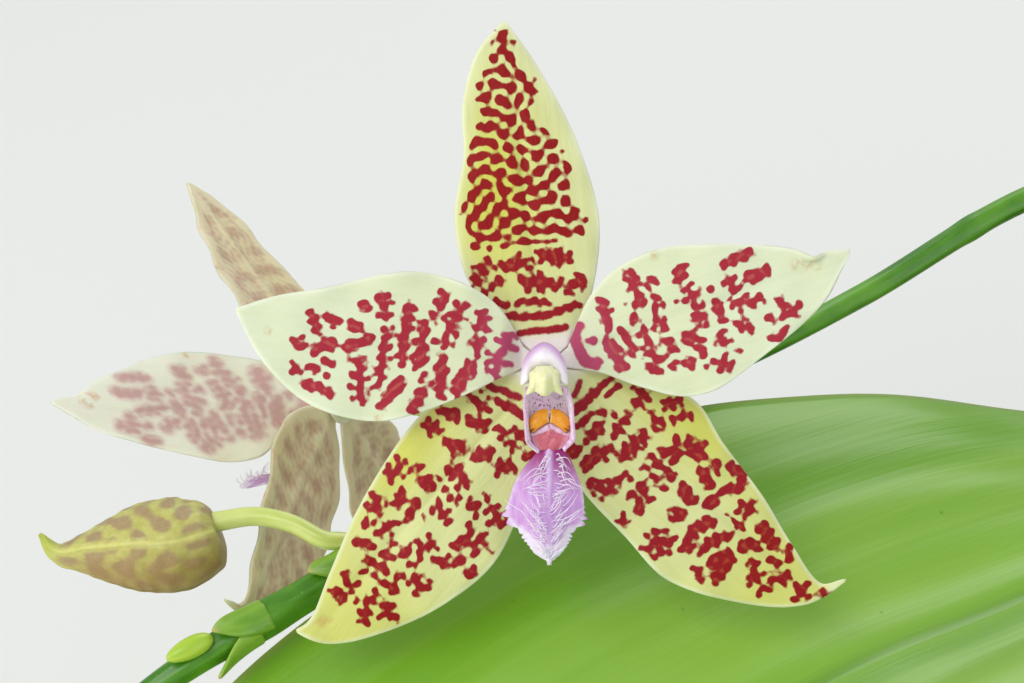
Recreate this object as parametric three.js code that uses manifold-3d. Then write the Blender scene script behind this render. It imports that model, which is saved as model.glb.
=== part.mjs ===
// A potted hieroglyphica moth orchid in flower: a round nursery pot of bark, a short stem with two
// ranks of broad leaves, aerial roots, and an arching spike with two open flowers and a bud.
// Millimetres and degrees, +Z up. The origin is the middle of the pot's underside.
import * as THREE from "three";
import { mergeVertices } from "three/addons/utils/BufferGeometryUtils.js";
import Module from "manifold-3d";

const wasm = await Module();
wasm.setup();

// Driving dimensions
const POT = {
  height: 110, topRadius: 63, baseRadius: 47, wall: 1.6, floor: 2,
  footHeight: 3, footWidth: 4, padRadius: 10, rimHeight: 9, rimWidth: 3, segments: 32,
  drainRadius: 4, drainRing: 28, drainCount: 6,
};
const BARK = { top: 96, clearance: 0.4, chipLength: 15, chipCount: 26, stemClear: 15 };
const STEM = { radius: 8.5, flatten: 0.8, bottom: 97, height: 40, rings: 5 };
const LEAF_THICKNESS = 1.8;
const TEPAL_THICKNESS = 0.8;
const TEPAL_HINGE = 3; // how far from the flower's middle the tepals begin to lean
const RANK_AZIMUTH = 209; // the flower's side of the two ranks of leaves
const ROOT_RADIUS = 2.4;
const SPIKE = { baseRadius: 2.3, flowerRadius: 1.5, tipRadius: 1.2, swelling: 0.5 };
const GAP = 0.3; // between touching pieces

// Colours
const GREEN_LEAF = { color: 0x6c9a2c, roughness: 0.35 };
const GREEN_STEM = { color: 0x5e8f22, roughness: 0.45 };
const PALE_GREEN = { color: 0xcfdc8a, roughness: 0.5 };
const PETAL_WHITE = { color: 0xe0e6cc, roughness: 0.55 };
const SEPAL_YELLOW = { color: 0xd8dd9c, roughness: 0.55 };
const LIP_LILAC = { color: 0xc78bd6, roughness: 0.5 };
const COLUMN_WHITE = { color: 0xeadff0, roughness: 0.4 };
const ANTHER_CREAM = { color: 0xe6e3a6, roughness: 0.5 };
const BUD_OLIVE = { color: 0xb9b45a, roughness: 0.5 };
const ROOT_GREY = { color: 0x9fa891, roughness: 0.8 };
const BARK_BROWN = { color: 0x5a3a24, roughness: 0.95 };
const POT_GREY = { color: 0x2c3034, roughness: 0.5 };

const orchid = new THREE.Group();
orchid.name = "potted_orchid";

function addPiece(name, geometry, finish) {
  const mesh = new THREE.Mesh(geometry, new THREE.MeshStandardMaterial({ metalness: 0, ...finish }));
  mesh.name = name;
  orchid.add(mesh);
}

// Small vector helpers
const vec = (x, y, z) => new THREE.Vector3(x, y, z);
const radians = THREE.MathUtils.degToRad;
const mix = THREE.MathUtils.lerp;
const heading = (azimuth) => vec(Math.cos(radians(azimuth)), Math.sin(radians(azimuth)), 0);

// A repeatable stream of numbers from 0 to 1
function numberStream(seed) {
  let state = seed;
  return () => {
    state = (state * 16807) % 2147483647;
    return state / 2147483647;
  };
}

// Solids and geometries

function toSolid(geometry) {
  const bare = geometry.clone();
  bare.deleteAttribute("normal");
  bare.deleteAttribute("uv");
  const merged = mergeVertices(bare, 1e-3);
  return new wasm.Manifold(new wasm.Mesh({
    numProp: 3,
    vertProperties: new Float32Array(merged.attributes.position.array),
    triVerts: new Uint32Array(merged.index.array),
  }));
}

function toGeometry(solid) {
  const mesh = solid.getMesh();
  const geometry = new THREE.BufferGeometry();
  geometry.setAttribute("position", new THREE.BufferAttribute(mesh.vertProperties, 3));
  geometry.setIndex(new THREE.BufferAttribute(mesh.triVerts, 1));
  geometry.computeVertexNormals();
  return geometry;
}

function meshFrom(points, faces) {
  const geometry = new THREE.BufferGeometry().setFromPoints(points);
  geometry.setIndex(faces);
  geometry.computeVertexNormals();
  return geometry;
}

// A closed sheet of even thickness around a surface: pointAt(u, v), with u from 0 to 1 and v from -1 to 1
function sheet(pointAt, stepsLong, stepsWide, thickness) {
  const columns = stepsWide + 1;
  const middle = [];
  for (let i = 0; i <= stepsLong; i++)
    for (let j = 0; j <= stepsWide; j++) middle.push(pointAt(i / stepsLong, (2 * j) / stepsWide - 1));
  const at = (i, j) => middle[i * columns + j];
  const clampTo = (value, most) => Math.min(Math.max(value, 0), most);
  const points = [];
  for (const side of [1, -1])
    for (let i = 0; i <= stepsLong; i++)
      for (let j = 0; j <= stepsWide; j++) {
        const along = at(clampTo(i + 1, stepsLong), j).clone().sub(at(clampTo(i - 1, stepsLong), j));
        const across = at(i, clampTo(j + 1, stepsWide)).clone().sub(at(i, clampTo(j - 1, stepsWide)));
        const normal = along.cross(across).normalize();
        points.push(at(i, j).clone().addScaledVector(normal, (side * thickness) / 2));
      }
  const under = middle.length;
  const faces = [];
  const quad = (a, b, c, d) => faces.push(a, b, c, a, c, d);
  for (let i = 0; i < stepsLong; i++)
    for (let j = 0; j < stepsWide; j++) {
      const corner = i * columns + j;
      quad(corner, corner + columns, corner + columns + 1, corner + 1);
      quad(under + corner, under + corner + 1, under + corner + columns + 1, under + corner + columns);
    }
  for (let i = 0; i < stepsLong; i++) {
    const left = i * columns;
    const right = left + stepsWide;
    quad(left, under + left, under + left + columns, left + columns);
    quad(right, right + columns, under + right + columns, under + right);
  }
  for (let j = 0; j < stepsWide; j++) {
    const last = stepsLong * columns + j;
    quad(j, j + 1, under + j + 1, under + j);
    quad(last, under + last, under + last + 1, last + 1);
  }
  return meshFrom(points, faces);
}

// A closed tube along a curve, with its radius given along the way and an optional flattening
function tube(curve, radiusAt, steps, sides, flatten = 1) {
  const frames = curve.computeFrenetFrames(steps, false);
  const points = [];
  for (let i = 0; i <= steps; i++) {
    const middle = curve.getPointAt(i / steps);
    const radius = radiusAt(i / steps);
    for (let j = 0; j < sides; j++) {
      const turn = (2 * Math.PI * j) / sides;
      points.push(middle.clone()
        .addScaledVector(frames.normals[i], radius * Math.cos(turn))
        .addScaledVector(frames.binormals[i], radius * flatten * Math.sin(turn)));
    }
  }
  const faces = [];
  for (let i = 0; i < steps; i++)
    for (let j = 0; j < sides; j++) {
      const next = (j + 1) % sides;
      const a = i * sides + j;
      const b = i * sides + next;
      faces.push(a, b, b + sides, a, b + sides, a + sides);
    }
  const start = points.push(curve.getPointAt(0)) - 1;
  const end = points.push(curve.getPointAt(1)) - 1;
  for (let j = 0; j < sides; j++) {
    const next = (j + 1) % sides;
    faces.push(start, next, j);
    faces.push(end, steps * sides + j, steps * sides + next);
  }
  return meshFrom(points, faces);
}

const smoothCurve = (points) => new THREE.CatmullRomCurve3(points, false, "centripetal");
const taper = (from, to) => (share) => mix(from, to, share);

// A smooth run of numbers through evenly spaced stations
function through(stations) {
  const curve = smoothCurve(stations.map(([x, y]) => vec(x, y, 0)));
  return (share) => curve.getPoint(share);
}

// The place of the first flower and the way it is looked at. Its neighbours on the spike are placed
// along lines of sight: across and up in the flower's own plane, and then further behind it.
const FIRST_FLOWER = vec(-145, -47, 165);
const SIGHT = { elevation: 30, distance: 300, across: 4.3, up: -2.9 };
const sightRight = vec(1, 0, 0);
const sightUp = vec(0, Math.sin(radians(SIGHT.elevation)), Math.cos(radians(SIGHT.elevation)));
const sightBack = vec(0, -Math.cos(radians(SIGHT.elevation)), Math.sin(radians(SIGHT.elevation)));
const eye = FIRST_FLOWER.clone()
  .addScaledVector(sightRight, -SIGHT.across)
  .addScaledVector(sightUp, -SIGHT.up)
  .addScaledVector(sightBack, SIGHT.distance);

function inSight(across, up, behind) {
  const inPlane = FIRST_FLOWER.clone().addScaledVector(sightRight, across).addScaledVector(sightUp, up);
  return inPlane.sub(eye).multiplyScalar((SIGHT.distance + behind) / SIGHT.distance).add(eye);
}

// Pot

function wallInside(z) {
  const slope = (POT.topRadius - POT.baseRadius) / POT.height;
  return POT.baseRadius + slope * z - POT.wall;
}

function makePot() {
  const { height, topRadius, baseRadius, footHeight, footWidth, floor } = POT;
  const { padRadius, rimHeight, rimWidth } = POT;
  const wallOutside = (z) => wallInside(z) + POT.wall;
  const profile = [
    [0, 0], [padRadius, 0], [padRadius, footHeight],
    [baseRadius - footWidth, footHeight], [baseRadius - footWidth, 0], [baseRadius, 0],
    [wallOutside(height - rimHeight), height - rimHeight],
    [topRadius + rimWidth, height - rimHeight], [topRadius + rimWidth, height],
    [topRadius - POT.wall, height], [wallInside(footHeight + floor), footHeight + floor],
    [0, footHeight + floor],
  ];
  const turned = new THREE.LatheGeometry(profile.map(([r, z]) => new THREE.Vector2(r, z)), POT.segments);
  turned.rotateX(Math.PI / 2);
  let solid = toSolid(turned);
  for (let i = 0; i < POT.drainCount; i++) {
    const hole = new THREE.CylinderGeometry(POT.drainRadius, POT.drainRadius, 4 * floor, 12);
    hole.rotateX(Math.PI / 2);
    const place = heading((360 * i) / POT.drainCount).multiplyScalar(POT.drainRing);
    hole.translate(place.x, place.y, footHeight + floor / 2);
    solid = solid.subtract(toSolid(hole));
  }
  return toGeometry(solid);
}

// Bark: one filled body of the medium, with coarse chips standing out of its top

function makeBark() {
  const bottom = POT.footHeight + POT.floor + BARK.clearance;
  const radiusAt = (z) => wallInside(z) - BARK.clearance;
  const profile = [[0, bottom], [radiusAt(bottom), bottom], [radiusAt(BARK.top), BARK.top], [0, BARK.top]];
  const core = new THREE.LatheGeometry(profile.map(([r, z]) => new THREE.Vector2(r, z)), POT.segments);
  core.rotateX(Math.PI / 2);
  let solid = toSolid(core);
  const next = numberStream(2311);
  for (let i = 0; i < BARK.chipCount; i++) {
    const length = BARK.chipLength * (0.7 + 0.5 * next());
    const chip = new THREE.BoxGeometry(length, length * 0.6, 5);
    chip.rotateX(radians(16 * (next() - 0.5)));
    chip.rotateY(radians(16 * (next() - 0.5)));
    chip.rotateZ(2 * Math.PI * next());
    const edge = radiusAt(BARK.top) - 0.65 * length - 1;
    const reach = mix(BARK.stemClear + length / 2, edge, (i + 0.5) / BARK.chipCount);
    const place = heading(137.5 * i).multiplyScalar(reach);
    chip.translate(place.x, place.y, BARK.top - 1);
    solid = solid.add(toSolid(chip));
  }
  return toGeometry(solid);
}

// Stem

function makeStem() {
  const { radius, bottom, height, rings } = STEM;
  const profile = [new THREE.Vector2(0, bottom)];
  const steps = rings * 3;
  for (let i = 0; i <= steps; i++) {
    const share = i / steps;
    const swell = 0.5 * Math.cos(2 * Math.PI * rings * share);
    profile.push(new THREE.Vector2(radius * (1 - 0.35 * share) + swell, bottom + height * share));
  }
  profile.push(new THREE.Vector2(0, bottom + height));
  const stem = new THREE.LatheGeometry(profile, 16);
  stem.rotateX(Math.PI / 2);
  stem.scale(1, STEM.flatten, 1);
  stem.rotateZ(radians(RANK_AZIMUTH));
  return stem;
}

// Leaves: rise is the angle at the base and fall the angle at the tip, both above the horizon, and
// bend is how late along the leaf it turns down. The channel is how far each half is folded up from
// the midrib, and the roll is the twist at the tip.
const LEAVES = [
  {
    name: "leaf_left_broad", side: 0, azimuth: 0, base: 113.4,
    length: 272, width: 93, widest: 0.44, rise: 18, fall: -58, bend: 1.3, channel: 19.5, roll: -15.5,
  },
  {
    name: "leaf_right_broad", side: 180, azimuth: 6, base: 118,
    length: 250, width: 88, widest: 0.55, rise: 24, fall: -46, bend: 1, channel: 13, roll: 5,
  },
  {
    name: "leaf_left_low", side: 0, azimuth: 14, base: 105.5,
    length: 195, width: 70, widest: 0.55, rise: 24, fall: -66, bend: 1, channel: 10, roll: 4,
  },
  {
    name: "leaf_right_low", side: 180, azimuth: -14, base: 108,
    length: 205, width: 74, widest: 0.56, rise: 22, fall: -52, bend: 0.9, channel: 10, roll: -6,
  },
  {
    name: "leaf_right_upper", side: 180, azimuth: -8, base: 127,
    length: 185, width: 72, widest: 0.58, rise: 50, fall: -16, bend: 0.9, channel: 15, roll: -4,
  },
  {
    name: "leaf_young", side: 180, azimuth: 62, base: 134,
    length: 92, width: 32, widest: 0.5, rise: 74, fall: 50, bend: 1, channel: 24, roll: 0,
  },
];
const LEAF_BASE_WIDTH = 15;

function leafHalfWidth(leaf, u) {
  const spread = THREE.MathUtils.smoothstep(u, 0, leaf.widest);
  const ending = Math.max(0, (u - leaf.widest) / (1 - leaf.widest));
  const rounded = Math.pow(1 - Math.pow(ending, 2.3), 0.72);
  return (mix(LEAF_BASE_WIDTH, leaf.width, Math.pow(spread, 0.8)) / 2) * rounded;
}

// The midrib's points and slopes, walked out from the stem in short equal steps
function leafMidrib(leaf) {
  const steps = 60;
  const out = heading(RANK_AZIMUTH + leaf.side + leaf.azimuth);
  const attach = STEM.radius + GAP + 1.4;
  const points = [vec(out.x * attach, out.y * attach, leaf.base)];
  const slopes = [radians(leaf.rise)];
  for (let i = 1; i <= steps; i++) {
    const slope = radians(mix(leaf.rise, leaf.fall, Math.pow(i / steps, leaf.bend)));
    const step = leaf.length / steps;
    points.push(points[i - 1].clone().addScaledVector(out, step * Math.cos(slope)));
    points[i].z += step * Math.sin(slope);
    slopes.push(slope);
  }
  return { out, points, slopes, steps };
}

function leafSurface(leaf) {
  const { out, points, slopes, steps } = leafMidrib(leaf);
  const aside = vec(-out.y, out.x, 0);
  return (share, v) => {
    const u = share * 0.985;
    const place = Math.min(steps - 1, Math.floor(u * steps));
    const point = points[place].clone().lerp(points[place + 1], u * steps - place);
    const slope = mix(slopes[place], slopes[place + 1], u * steps - place);
    const upward = out.clone().multiplyScalar(-Math.sin(slope));
    upward.z += Math.cos(slope);
    const roll = radians(leaf.roll) * u;
    const side = aside.clone().multiplyScalar(Math.cos(roll)).addScaledVector(upward, Math.sin(roll));
    const half = leafHalfWidth(leaf, u);
    const fold = radians(mix(52, leaf.channel, THREE.MathUtils.smoothstep(u, 0, 0.22)));
    const crease = Math.sqrt(v * v + 0.01) - 0.1;
    return point
      .addScaledVector(side, v * half * Math.cos(fold))
      .addScaledVector(upward, half * (crease * Math.sin(fold) - 0.1 * v * v));
  };
}

// Flowers: each tepal's outline is two edges in the flower's plane, from the middle to the tip, with
// X to the right and Y up as one looks into the flower. Outward from the plane is towards the looker.
const TEPALS = {
  dorsal_sepal: {
    finish: SEPAL_YELLOW, axis: [-5, 42], out: -1.3, arch: 1.5, cup: -0.7, end: 0.8,
    left: [
      [-2.3, 2.8], [-7.2, 7], [-10, 11], [-11.4, 18],
      [-10.3, 26], [-10.4, 32], [-8.7, 38.5], [-5.6, 42.2],
    ],
    right: [
      [2, 2.8], [4.6, 7.5], [6.3, 13], [6.4, 18.5],
      [4.3, 26], [1.9, 31.5], [-1.6, 37.5], [-5, 42.3],
    ],
  },
  petal_left: {
    finish: PETAL_WHITE, axis: [-38, 6.5], out: 0.7, arch: 1.4, cup: 0.3, end: 0.6,
    left: [
      [-3.3, -0.5], [-6, -1.7], [-10, -3.6], [-17, -6.2],
      [-22, -6.8], [-29.5, -4.5], [-35, 0.8], [-37.9, 6.2],
    ],
    right: [
      [-3, 2.4], [-6, 7.2], [-10, 9.9], [-15.5, 11.4],
      [-20, 11.1], [-27, 9.5], [-33.5, 8.4], [-38, 7],
    ],
  },
  petal_right: {
    finish: PETAL_WHITE, axis: [37, 13.5], out: 0.7, arch: 1.4, cup: 0.3, end: 0.6,
    left: [
      [2.6, 2.2], [5.5, 8.8], [9, 12.2], [14, 14.3],
      [20, 14.8], [27, 14.6], [32.5, 14], [36.9, 14.2],
    ],
    right: [
      [3, -0.4], [6.5, -0.9], [11, -2.5], [16.5, -3.8],
      [20.5, -3], [27, 1.6], [33.5, 7.4], [37, 13.6],
    ],
  },
  lateral_sepal_left: {
    finish: SEPAL_YELLOW, axis: [-29.5, -34], out: -1.3, arch: 1, cup: -0.6, end: 0.4,
    left: [
      [-1, -3.4], [-1.6, -8], [-3, -16], [-6.5, -24.5],
      [-12.5, -29.6], [-20, -33.2], [-27, -34.7], [-31, -33.4],
    ],
    right: [
      [-3, -1.4], [-9.5, -2.6], [-15.5, -6.3], [-20, -12],
      [-24, -19], [-27, -26], [-29.5, -31.7], [-31.2, -33],
    ],
  },
  lateral_sepal_right: {
    finish: SEPAL_YELLOW, axis: [34, -28.5], out: -1.3, arch: 1, cup: -0.6, end: 2,
    left: [
      [3, -1.4], [11, -1.8], [18.5, -4.5], [22, -9.8],
      [27, -16.5], [30.5, -22.3], [34.3, -27.3], [37.2, -26.6],
    ],
    right: [
      [1, -3.4], [1.6, -8], [4.5, -14.8], [10, -21.6],
      [14.8, -26.6], [23, -29.4], [31.5, -30], [37.1, -27],
    ],
  },
};

// Each flower's place, the directions of its right, up and face as [right, up, nearer] in sight, how
// far the middle lobe of its lip is lifted, and for each tepal its turn in the flower's plane, its
// lean out of it and its twist about its own length, in degrees.
const FLOWERS = [
  {
    name: "flower_front", origin: FIRST_FLOWER,
    right: [1, 0, 0], up: [0, 1, 0], face: [0, 0, 1], lipLift: 0,
    pose: {
      dorsal_sepal: { turn: 0, lean: 2, twist: 0 },
      petal_left: { turn: 0, lean: 4, twist: 0 },
      petal_right: { turn: 0, lean: 4, twist: 0 },
      lateral_sepal_left: { turn: 0, lean: -2, twist: 0 },
      lateral_sepal_right: { turn: 0, lean: -3, twist: 0 },
    },
  },
  {
    name: "flower_back", origin: inSight(-26.5, -4.5, 48),
    right: [-0.54, -0.06, 0.84], up: [-0.07, 0.997, 0.025], face: [-0.84, -0.045, -0.545], lipLift: 72,
    pose: {
      dorsal_sepal: { turn: -5, lean: 40, twist: 0 },
      petal_left: { turn: 4, lean: 37, twist: -28 },
      petal_right: { turn: -15, lean: 41, twist: 32 },
      lateral_sepal_left: { turn: 0, lean: 4, twist: 0 },
      lateral_sepal_right: { turn: 5, lean: -14, twist: 0 },
    },
  },
];

// Where a point of a flower's own plane lies in the plant
function flowerFrame(flower) {
  const fromSight = ([a, b, c]) => sightRight.clone().multiplyScalar(a)
    .addScaledVector(sightUp, b).addScaledVector(sightBack, c).normalize();
  const face = fromSight(flower.face);
  const right = fromSight(flower.right);
  const up = face.clone().cross(right).normalize();
  right.crossVectors(up, face);
  return (x, y, out) => flower.origin.clone()
    .addScaledVector(right, x).addScaledVector(up, y).addScaledVector(face, out);
}

function makeTepal(tepal, pose, place) {
  const leftEdge = through(tepal.left);
  const rightEdge = through(tepal.right);
  const axis = new THREE.Vector2(...tepal.axis).normalize();
  const turned = axis.clone().rotateAround(new THREE.Vector2(), radians(pose.turn));
  const lean = radians(pose.lean);
  const twist = radians(pose.twist);
  const surface = (u, v) => {
    const inPlane = leftEdge(u).lerp(rightEdge(u), (v + 1) / 2);
    const along = inPlane.x * axis.x + inPlane.y * axis.y;
    const across = inPlane.y * axis.x - inPlane.x * axis.y;
    const held = THREE.MathUtils.smoothstep(along, 2, 12);
    const bulge = Math.sin(Math.PI * u);
    const bowed = tepal.out + tepal.arch * bulge + tepal.cup * v * v * bulge + tepal.end * Math.pow(u, 5);
    const a = TEPAL_HINGE + (along - TEPAL_HINGE) * Math.cos(lean);
    const c = across * Math.cos(twist * held);
    const out = bowed + (along - TEPAL_HINGE) * Math.sin(lean) + across * Math.sin(twist * held);
    return place(a * turned.x - c * turned.y, a * turned.y + c * turned.x, out);
  };
  return sheet(surface, 12, 4, TEPAL_THICKNESS);
}

const COLUMN = { middle: [-0.4, -0.3], back: -1.9, front: 7, radius: 2.7, tall: 1.12 };

function makeColumn(place) {
  const [x, y] = COLUMN.middle;
  const curve = smoothCurve([COLUMN.back, 1, 4, COLUMN.front].map((out) => place(x, y, out)));
  const radiusAt = (share) => share < 0.25
    ? mix(1.5, 2.2, share / 0.25)
    : mix(2.2, COLUMN.radius, Math.sin(Math.PI * (share - 0.25) / 1.1));
  return tube(curve, radiusAt, 6, 10);
}

function makeAntherCap(place) {
  const [x, y] = COLUMN.middle;
  const curve = smoothCurve([0, 0.8, 1.6].map((step) =>
    place(x, y - 0.7, COLUMN.front + GAP + step)));
  return tube(curve, taper(2.2, 1.2), 3, 8);
}

// The lip is one organ: a channelled claw, two upright side lobes, a two-lobed callus and the broad
// keeled middle lobe that hangs below them.
const LIP = {
  top: -4.4, waist: -10.2, halfChannel: 2.3, lobeHeight: 4.6, thickness: 0.8,
  left: [
    [-1.3, -9.8], [-2.8, -12.6], [-4.3, -15.4], [-4.9, -18],
    [-3.2, -20.9], [-1.6, -23], [-0.2, -24.2],
  ],
  right: [
    [1.3, -9.8], [2.8, -12.4], [4.1, -15], [4.7, -17.8],
    [3.4, -20.6], [1.7, -22.9], [0.5, -24.2],
  ],
};

function makeLip(place, lift) {
  const channel = sheet((u, v) => place(v * LIP.halfChannel,
    mix(LIP.top, LIP.waist - 0.8, u), 1.4 + 3.2 * u * u + 0.5 * v * v), 5, 2, LIP.thickness);
  let solid = toSolid(channel);
  for (const side of [-1, 1]) {
    const lobe = sheet((u, v) => place(side * (LIP.halfChannel + 0.4 * u + 0.3 * v),
      mix(LIP.top + 0.6, LIP.waist + 0.6, (v + 1) / 2),
      mix(1.2, 1.4 + LIP.lobeHeight + 1.2 * v, u)), 3, 4, LIP.thickness);
    const callus = new THREE.SphereGeometry(1.2, 8, 6);
    const spot = place(side * 1.1, -6.6, 2.6);
    callus.translate(spot.x, spot.y, spot.z);
    solid = solid.add(toSolid(lobe)).add(toSolid(callus));
  }
  const leftEdge = through(LIP.left);
  const rightEdge = through(LIP.right);
  const swing = radians(lift);
  const middleLobe = sheet((u, v) => {
    const inPlane = leftEdge(u).lerp(rightEdge(u), (v + 1) / 2);
    const down = inPlane.y - LIP.waist;
    const out = 2.6 * u + 1.2 * Math.sin(Math.PI * u) * (1 - Math.abs(v));
    return place(inPlane.x, LIP.waist + down * Math.cos(swing) + out * Math.sin(swing),
      3.9 + out * Math.cos(swing) - down * Math.sin(swing));
  }, 8, 4, LIP.thickness);
  return toGeometry(solid.add(toSolid(middleLobe)));
}

function addFlower(flower) {
  const place = flowerFrame(flower);
  for (const [name, tepal] of Object.entries(TEPALS))
    addPiece(`${flower.name}_${name}`, makeTepal(tepal, flower.pose[name], place), tepal.finish);
  addPiece(`${flower.name}_column`, makeColumn(place), COLUMN_WHITE);
  addPiece(`${flower.name}_anther_cap`, makeAntherCap(place), ANTHER_CREAM);
  addPiece(`${flower.name}_lip`, makeLip(place, flower.lipLift), LIP_LILAC);
}

// Spike: out of the stem, over in an arch, and down past the flowers, as a chosen run of points
const SPIKE_ROUTE = [
  vec(-4.2, 10.3, 113), vec(-9, 19, 136), vec(-24, 24, 156), vec(-47, 22, 163),
  inSight(58.9, 20.4, 60), inSight(39, 8.6, 52), inSight(18.9, -1.4, 37), inSight(0, -7.6, 27),
  inSight(-13.4, -16.4, 19), inSight(-26.4, -26.2, 13), inSight(-36.3, -32.2, 9), inSight(-43.8, -36.7, 7),
  inSight(-49.6, -40.8, 6), inSight(-57.4, -47.4, 6), inSight(-64.5, -54.9, 8),
];
const spikeCurve = smoothCurve(SPIKE_ROUTE);

// The share of the spike's length that lies nearest to a point in sight
function spikeShare(across, up, behind) {
  const wanted = inSight(across, up, behind);
  let best = 0;
  for (let i = 0; i <= 1000; i++)
    if (spikeCurve.getPointAt(i / 1000).distanceTo(wanted) < spikeCurve.getPointAt(best).distanceTo(wanted))
      best = i / 1000;
  return best;
}

function spikeRadius(share) {
  if (share < 0.6) return mix(SPIKE.baseRadius, SPIKE.flowerRadius, share / 0.6);
  const late = (share - 0.6) / 0.4;
  return mix(SPIKE.flowerRadius, SPIKE.tipRadius, late) + SPIKE.swelling * Math.sin(Math.PI * late);
}

// A stalk that stands out from the side of the spike, then bends along its waypoints
function makeStalk(share, waypoints, radiusAt, steps) {
  const root = spikeCurve.getPointAt(share);
  const along = spikeCurve.getTangentAt(share);
  const away = waypoints[0].clone().sub(root);
  away.addScaledVector(along, -away.dot(along)).normalize();
  const outBy = (distance) => root.clone().addScaledVector(away, spikeRadius(share) + distance);
  return tube(smoothCurve([outBy(GAP + 0.1), outBy(1.6), ...waypoints]), radiusAt, steps, 8);
}

// A direction straight out of the spike's side: 0 degrees is level with the ground, -90 is upwards
function spikeSide(share, turn) {
  const along = spikeCurve.getTangentAt(share);
  const level = along.clone().cross(vec(0, 0, 1)).normalize();
  return level.applyAxisAngle(along, radians(turn));
}

// Bracts: short pointed scales that clasp the spike by each stalk
function makeBract({ share, turn, length }) {
  const along = spikeCurve.getTangentAt(share);
  const root = spikeCurve.getPointAt(share);
  const out = spikeSide(share, turn);
  const side = along.clone().cross(out);
  const radius = spikeRadius(share) + GAP + 0.45;
  return sheet((u, v) => {
    const wrap = v * radians(48) * (1 - 0.92 * u * u);
    const reach = radius + 1.2 * u * u;
    return root.clone().addScaledVector(along, length * u)
      .addScaledVector(out, reach * Math.cos(wrap)).addScaledVector(side, reach * Math.sin(wrap));
  }, 5, 4, 0.6);
}

const SHARES = {
  flowerFront: spikeShare(18.9, -1.4, 37), flowerBack: spikeShare(-11, -15, 20),
  bud: spikeShare(-23.2, -24.2, 15), upper: spikeShare(-34.5, -31, 9), lower: spikeShare(-36, -32.2, 9),
};
const BRACTS = [
  { name: "bract_flower_front", share: SHARES.flowerFront + 0.008, turn: 30, length: 6 },
  { name: "bract_flower_back", share: SHARES.flowerBack + 0.008, turn: 30, length: 6 },
  { name: "bract_bud", share: SHARES.bud + 0.005, turn: -95, length: 5.5 },
  { name: "bract_upper", share: SHARES.upper, turn: -105, length: 7.5 },
  { name: "bract_lower", share: SHARES.lower, turn: 150, length: 7.5 },
];

// Bud: closed sepals in one pointed body, hooked at its tip
const BUD_ROUTE = [
  inSight(-40.6, -20.4, 16), inSight(-44.2, -21.8, 16), inSight(-50, -22.5, 16.5),
  inSight(-56, -23, 17), inSight(-60.4, -23.2, 17.5), inSight(-62.6, -20.9, 18),
];
const BUD_GIRTH = [2.6, 6.2, 6.3, 4.4, 1.9, 0.3];

function makeBud() {
  const girth = through(BUD_GIRTH.map((radius, i) => [i, radius]));
  return tube(smoothCurve(BUD_ROUTE), (share) => girth(share).y, 14, 12, 0.92);
}

function makeYoungBud({ share, turn, length, radius }) {
  const out = spikeSide(share, turn);
  const bud = new THREE.SphereGeometry(radius, 8, 8);
  bud.scale(1, 1, length / (2 * radius));
  const lean = spikeCurve.getTangentAt(share).addScaledVector(out, 0.2).normalize();
  bud.applyQuaternion(new THREE.Quaternion().setFromUnitVectors(vec(0, 0, 1), lean));
  const place = spikeCurve.getPointAt(share).addScaledVector(out, spikeRadius(share) + radius + 0.9);
  bud.translate(place.x, place.y, place.z);
  return bud;
}

const YOUNG_BUDS = [
  { name: "young_bud_upper", share: spikeShare(-43.2, -36.6, 7), turn: -105, length: 6.5, radius: 1.4 },
  { name: "young_bud_lower", share: spikeShare(-51, -42, 6), turn: 95, length: 5.5, radius: 1.2 },
  { name: "young_bud_tip", share: spikeShare(-60, -50, 7), turn: -80, length: 4.5, radius: 1 },
];

// Roots: some arch over the rim and hang outside, others run out and down to the bark
const HANGING_ROOTS = [
  { name: "root_over_rim_back", azimuth: 90, start: 109, hang: 52, swing: 14 },
  { name: "root_over_rim_front", azimuth: 285, start: 108, hang: 34, swing: -12 },
  { name: "root_over_rim_right", azimuth: 308, start: 110, hang: 62, swing: 9 },
];
const BARK_ROOTS = [
  { name: "root_into_bark_left", azimuth: 165, start: 104, reach: 38, swing: 16 },
  { name: "root_into_bark_back", azimuth: 58, start: 105, reach: 43, swing: -12 },
  { name: "root_into_bark_front", azimuth: 258, start: 104, reach: 40, swing: -18 },
  { name: "root_into_bark_right", azimuth: 332, start: 103, reach: 34, swing: -14 },
];

const atPolar = (azimuth, reach, z) => heading(azimuth).multiplyScalar(reach).setZ(z);

function makeHangingRoot({ azimuth, start, hang, swing }) {
  const overRim = POT.height + ROOT_RADIUS + 1.2;
  const outside = POT.topRadius + POT.rimWidth + ROOT_RADIUS + 2;
  const route = [
    atPolar(azimuth, STEM.radius + ROOT_RADIUS + 1, start), atPolar(azimuth, 26, start + 4),
    atPolar(azimuth + swing / 2, 48, overRim + 2), atPolar(azimuth + swing, outside - 5, overRim + 1),
    atPolar(azimuth + swing, outside + 0.6, POT.height - 4),
    atPolar(azimuth + swing * 1.4, outside - 1, mix(POT.height, hang, 0.5)),
    atPolar(azimuth + swing * 2, outside + 2, hang),
  ];
  return tube(smoothCurve(route), (share) => ROOT_RADIUS * (share > 0.93 ? 0.75 : 1), 16, 8);
}

function makeBarkRoot({ azimuth, start, reach, swing }) {
  const down = BARK.top + 4.8;
  const route = [
    atPolar(azimuth, STEM.radius + ROOT_RADIUS + 1, start),
    atPolar(azimuth, mix(STEM.radius, reach, 0.5), start + 1.5),
    atPolar(azimuth + swing / 2, reach * 0.85, start - 0.5),
    atPolar(azimuth + swing, reach, down),
  ];
  return tube(smoothCurve(route), taper(ROOT_RADIUS, ROOT_RADIUS * 0.8), 8, 8);
}

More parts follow.
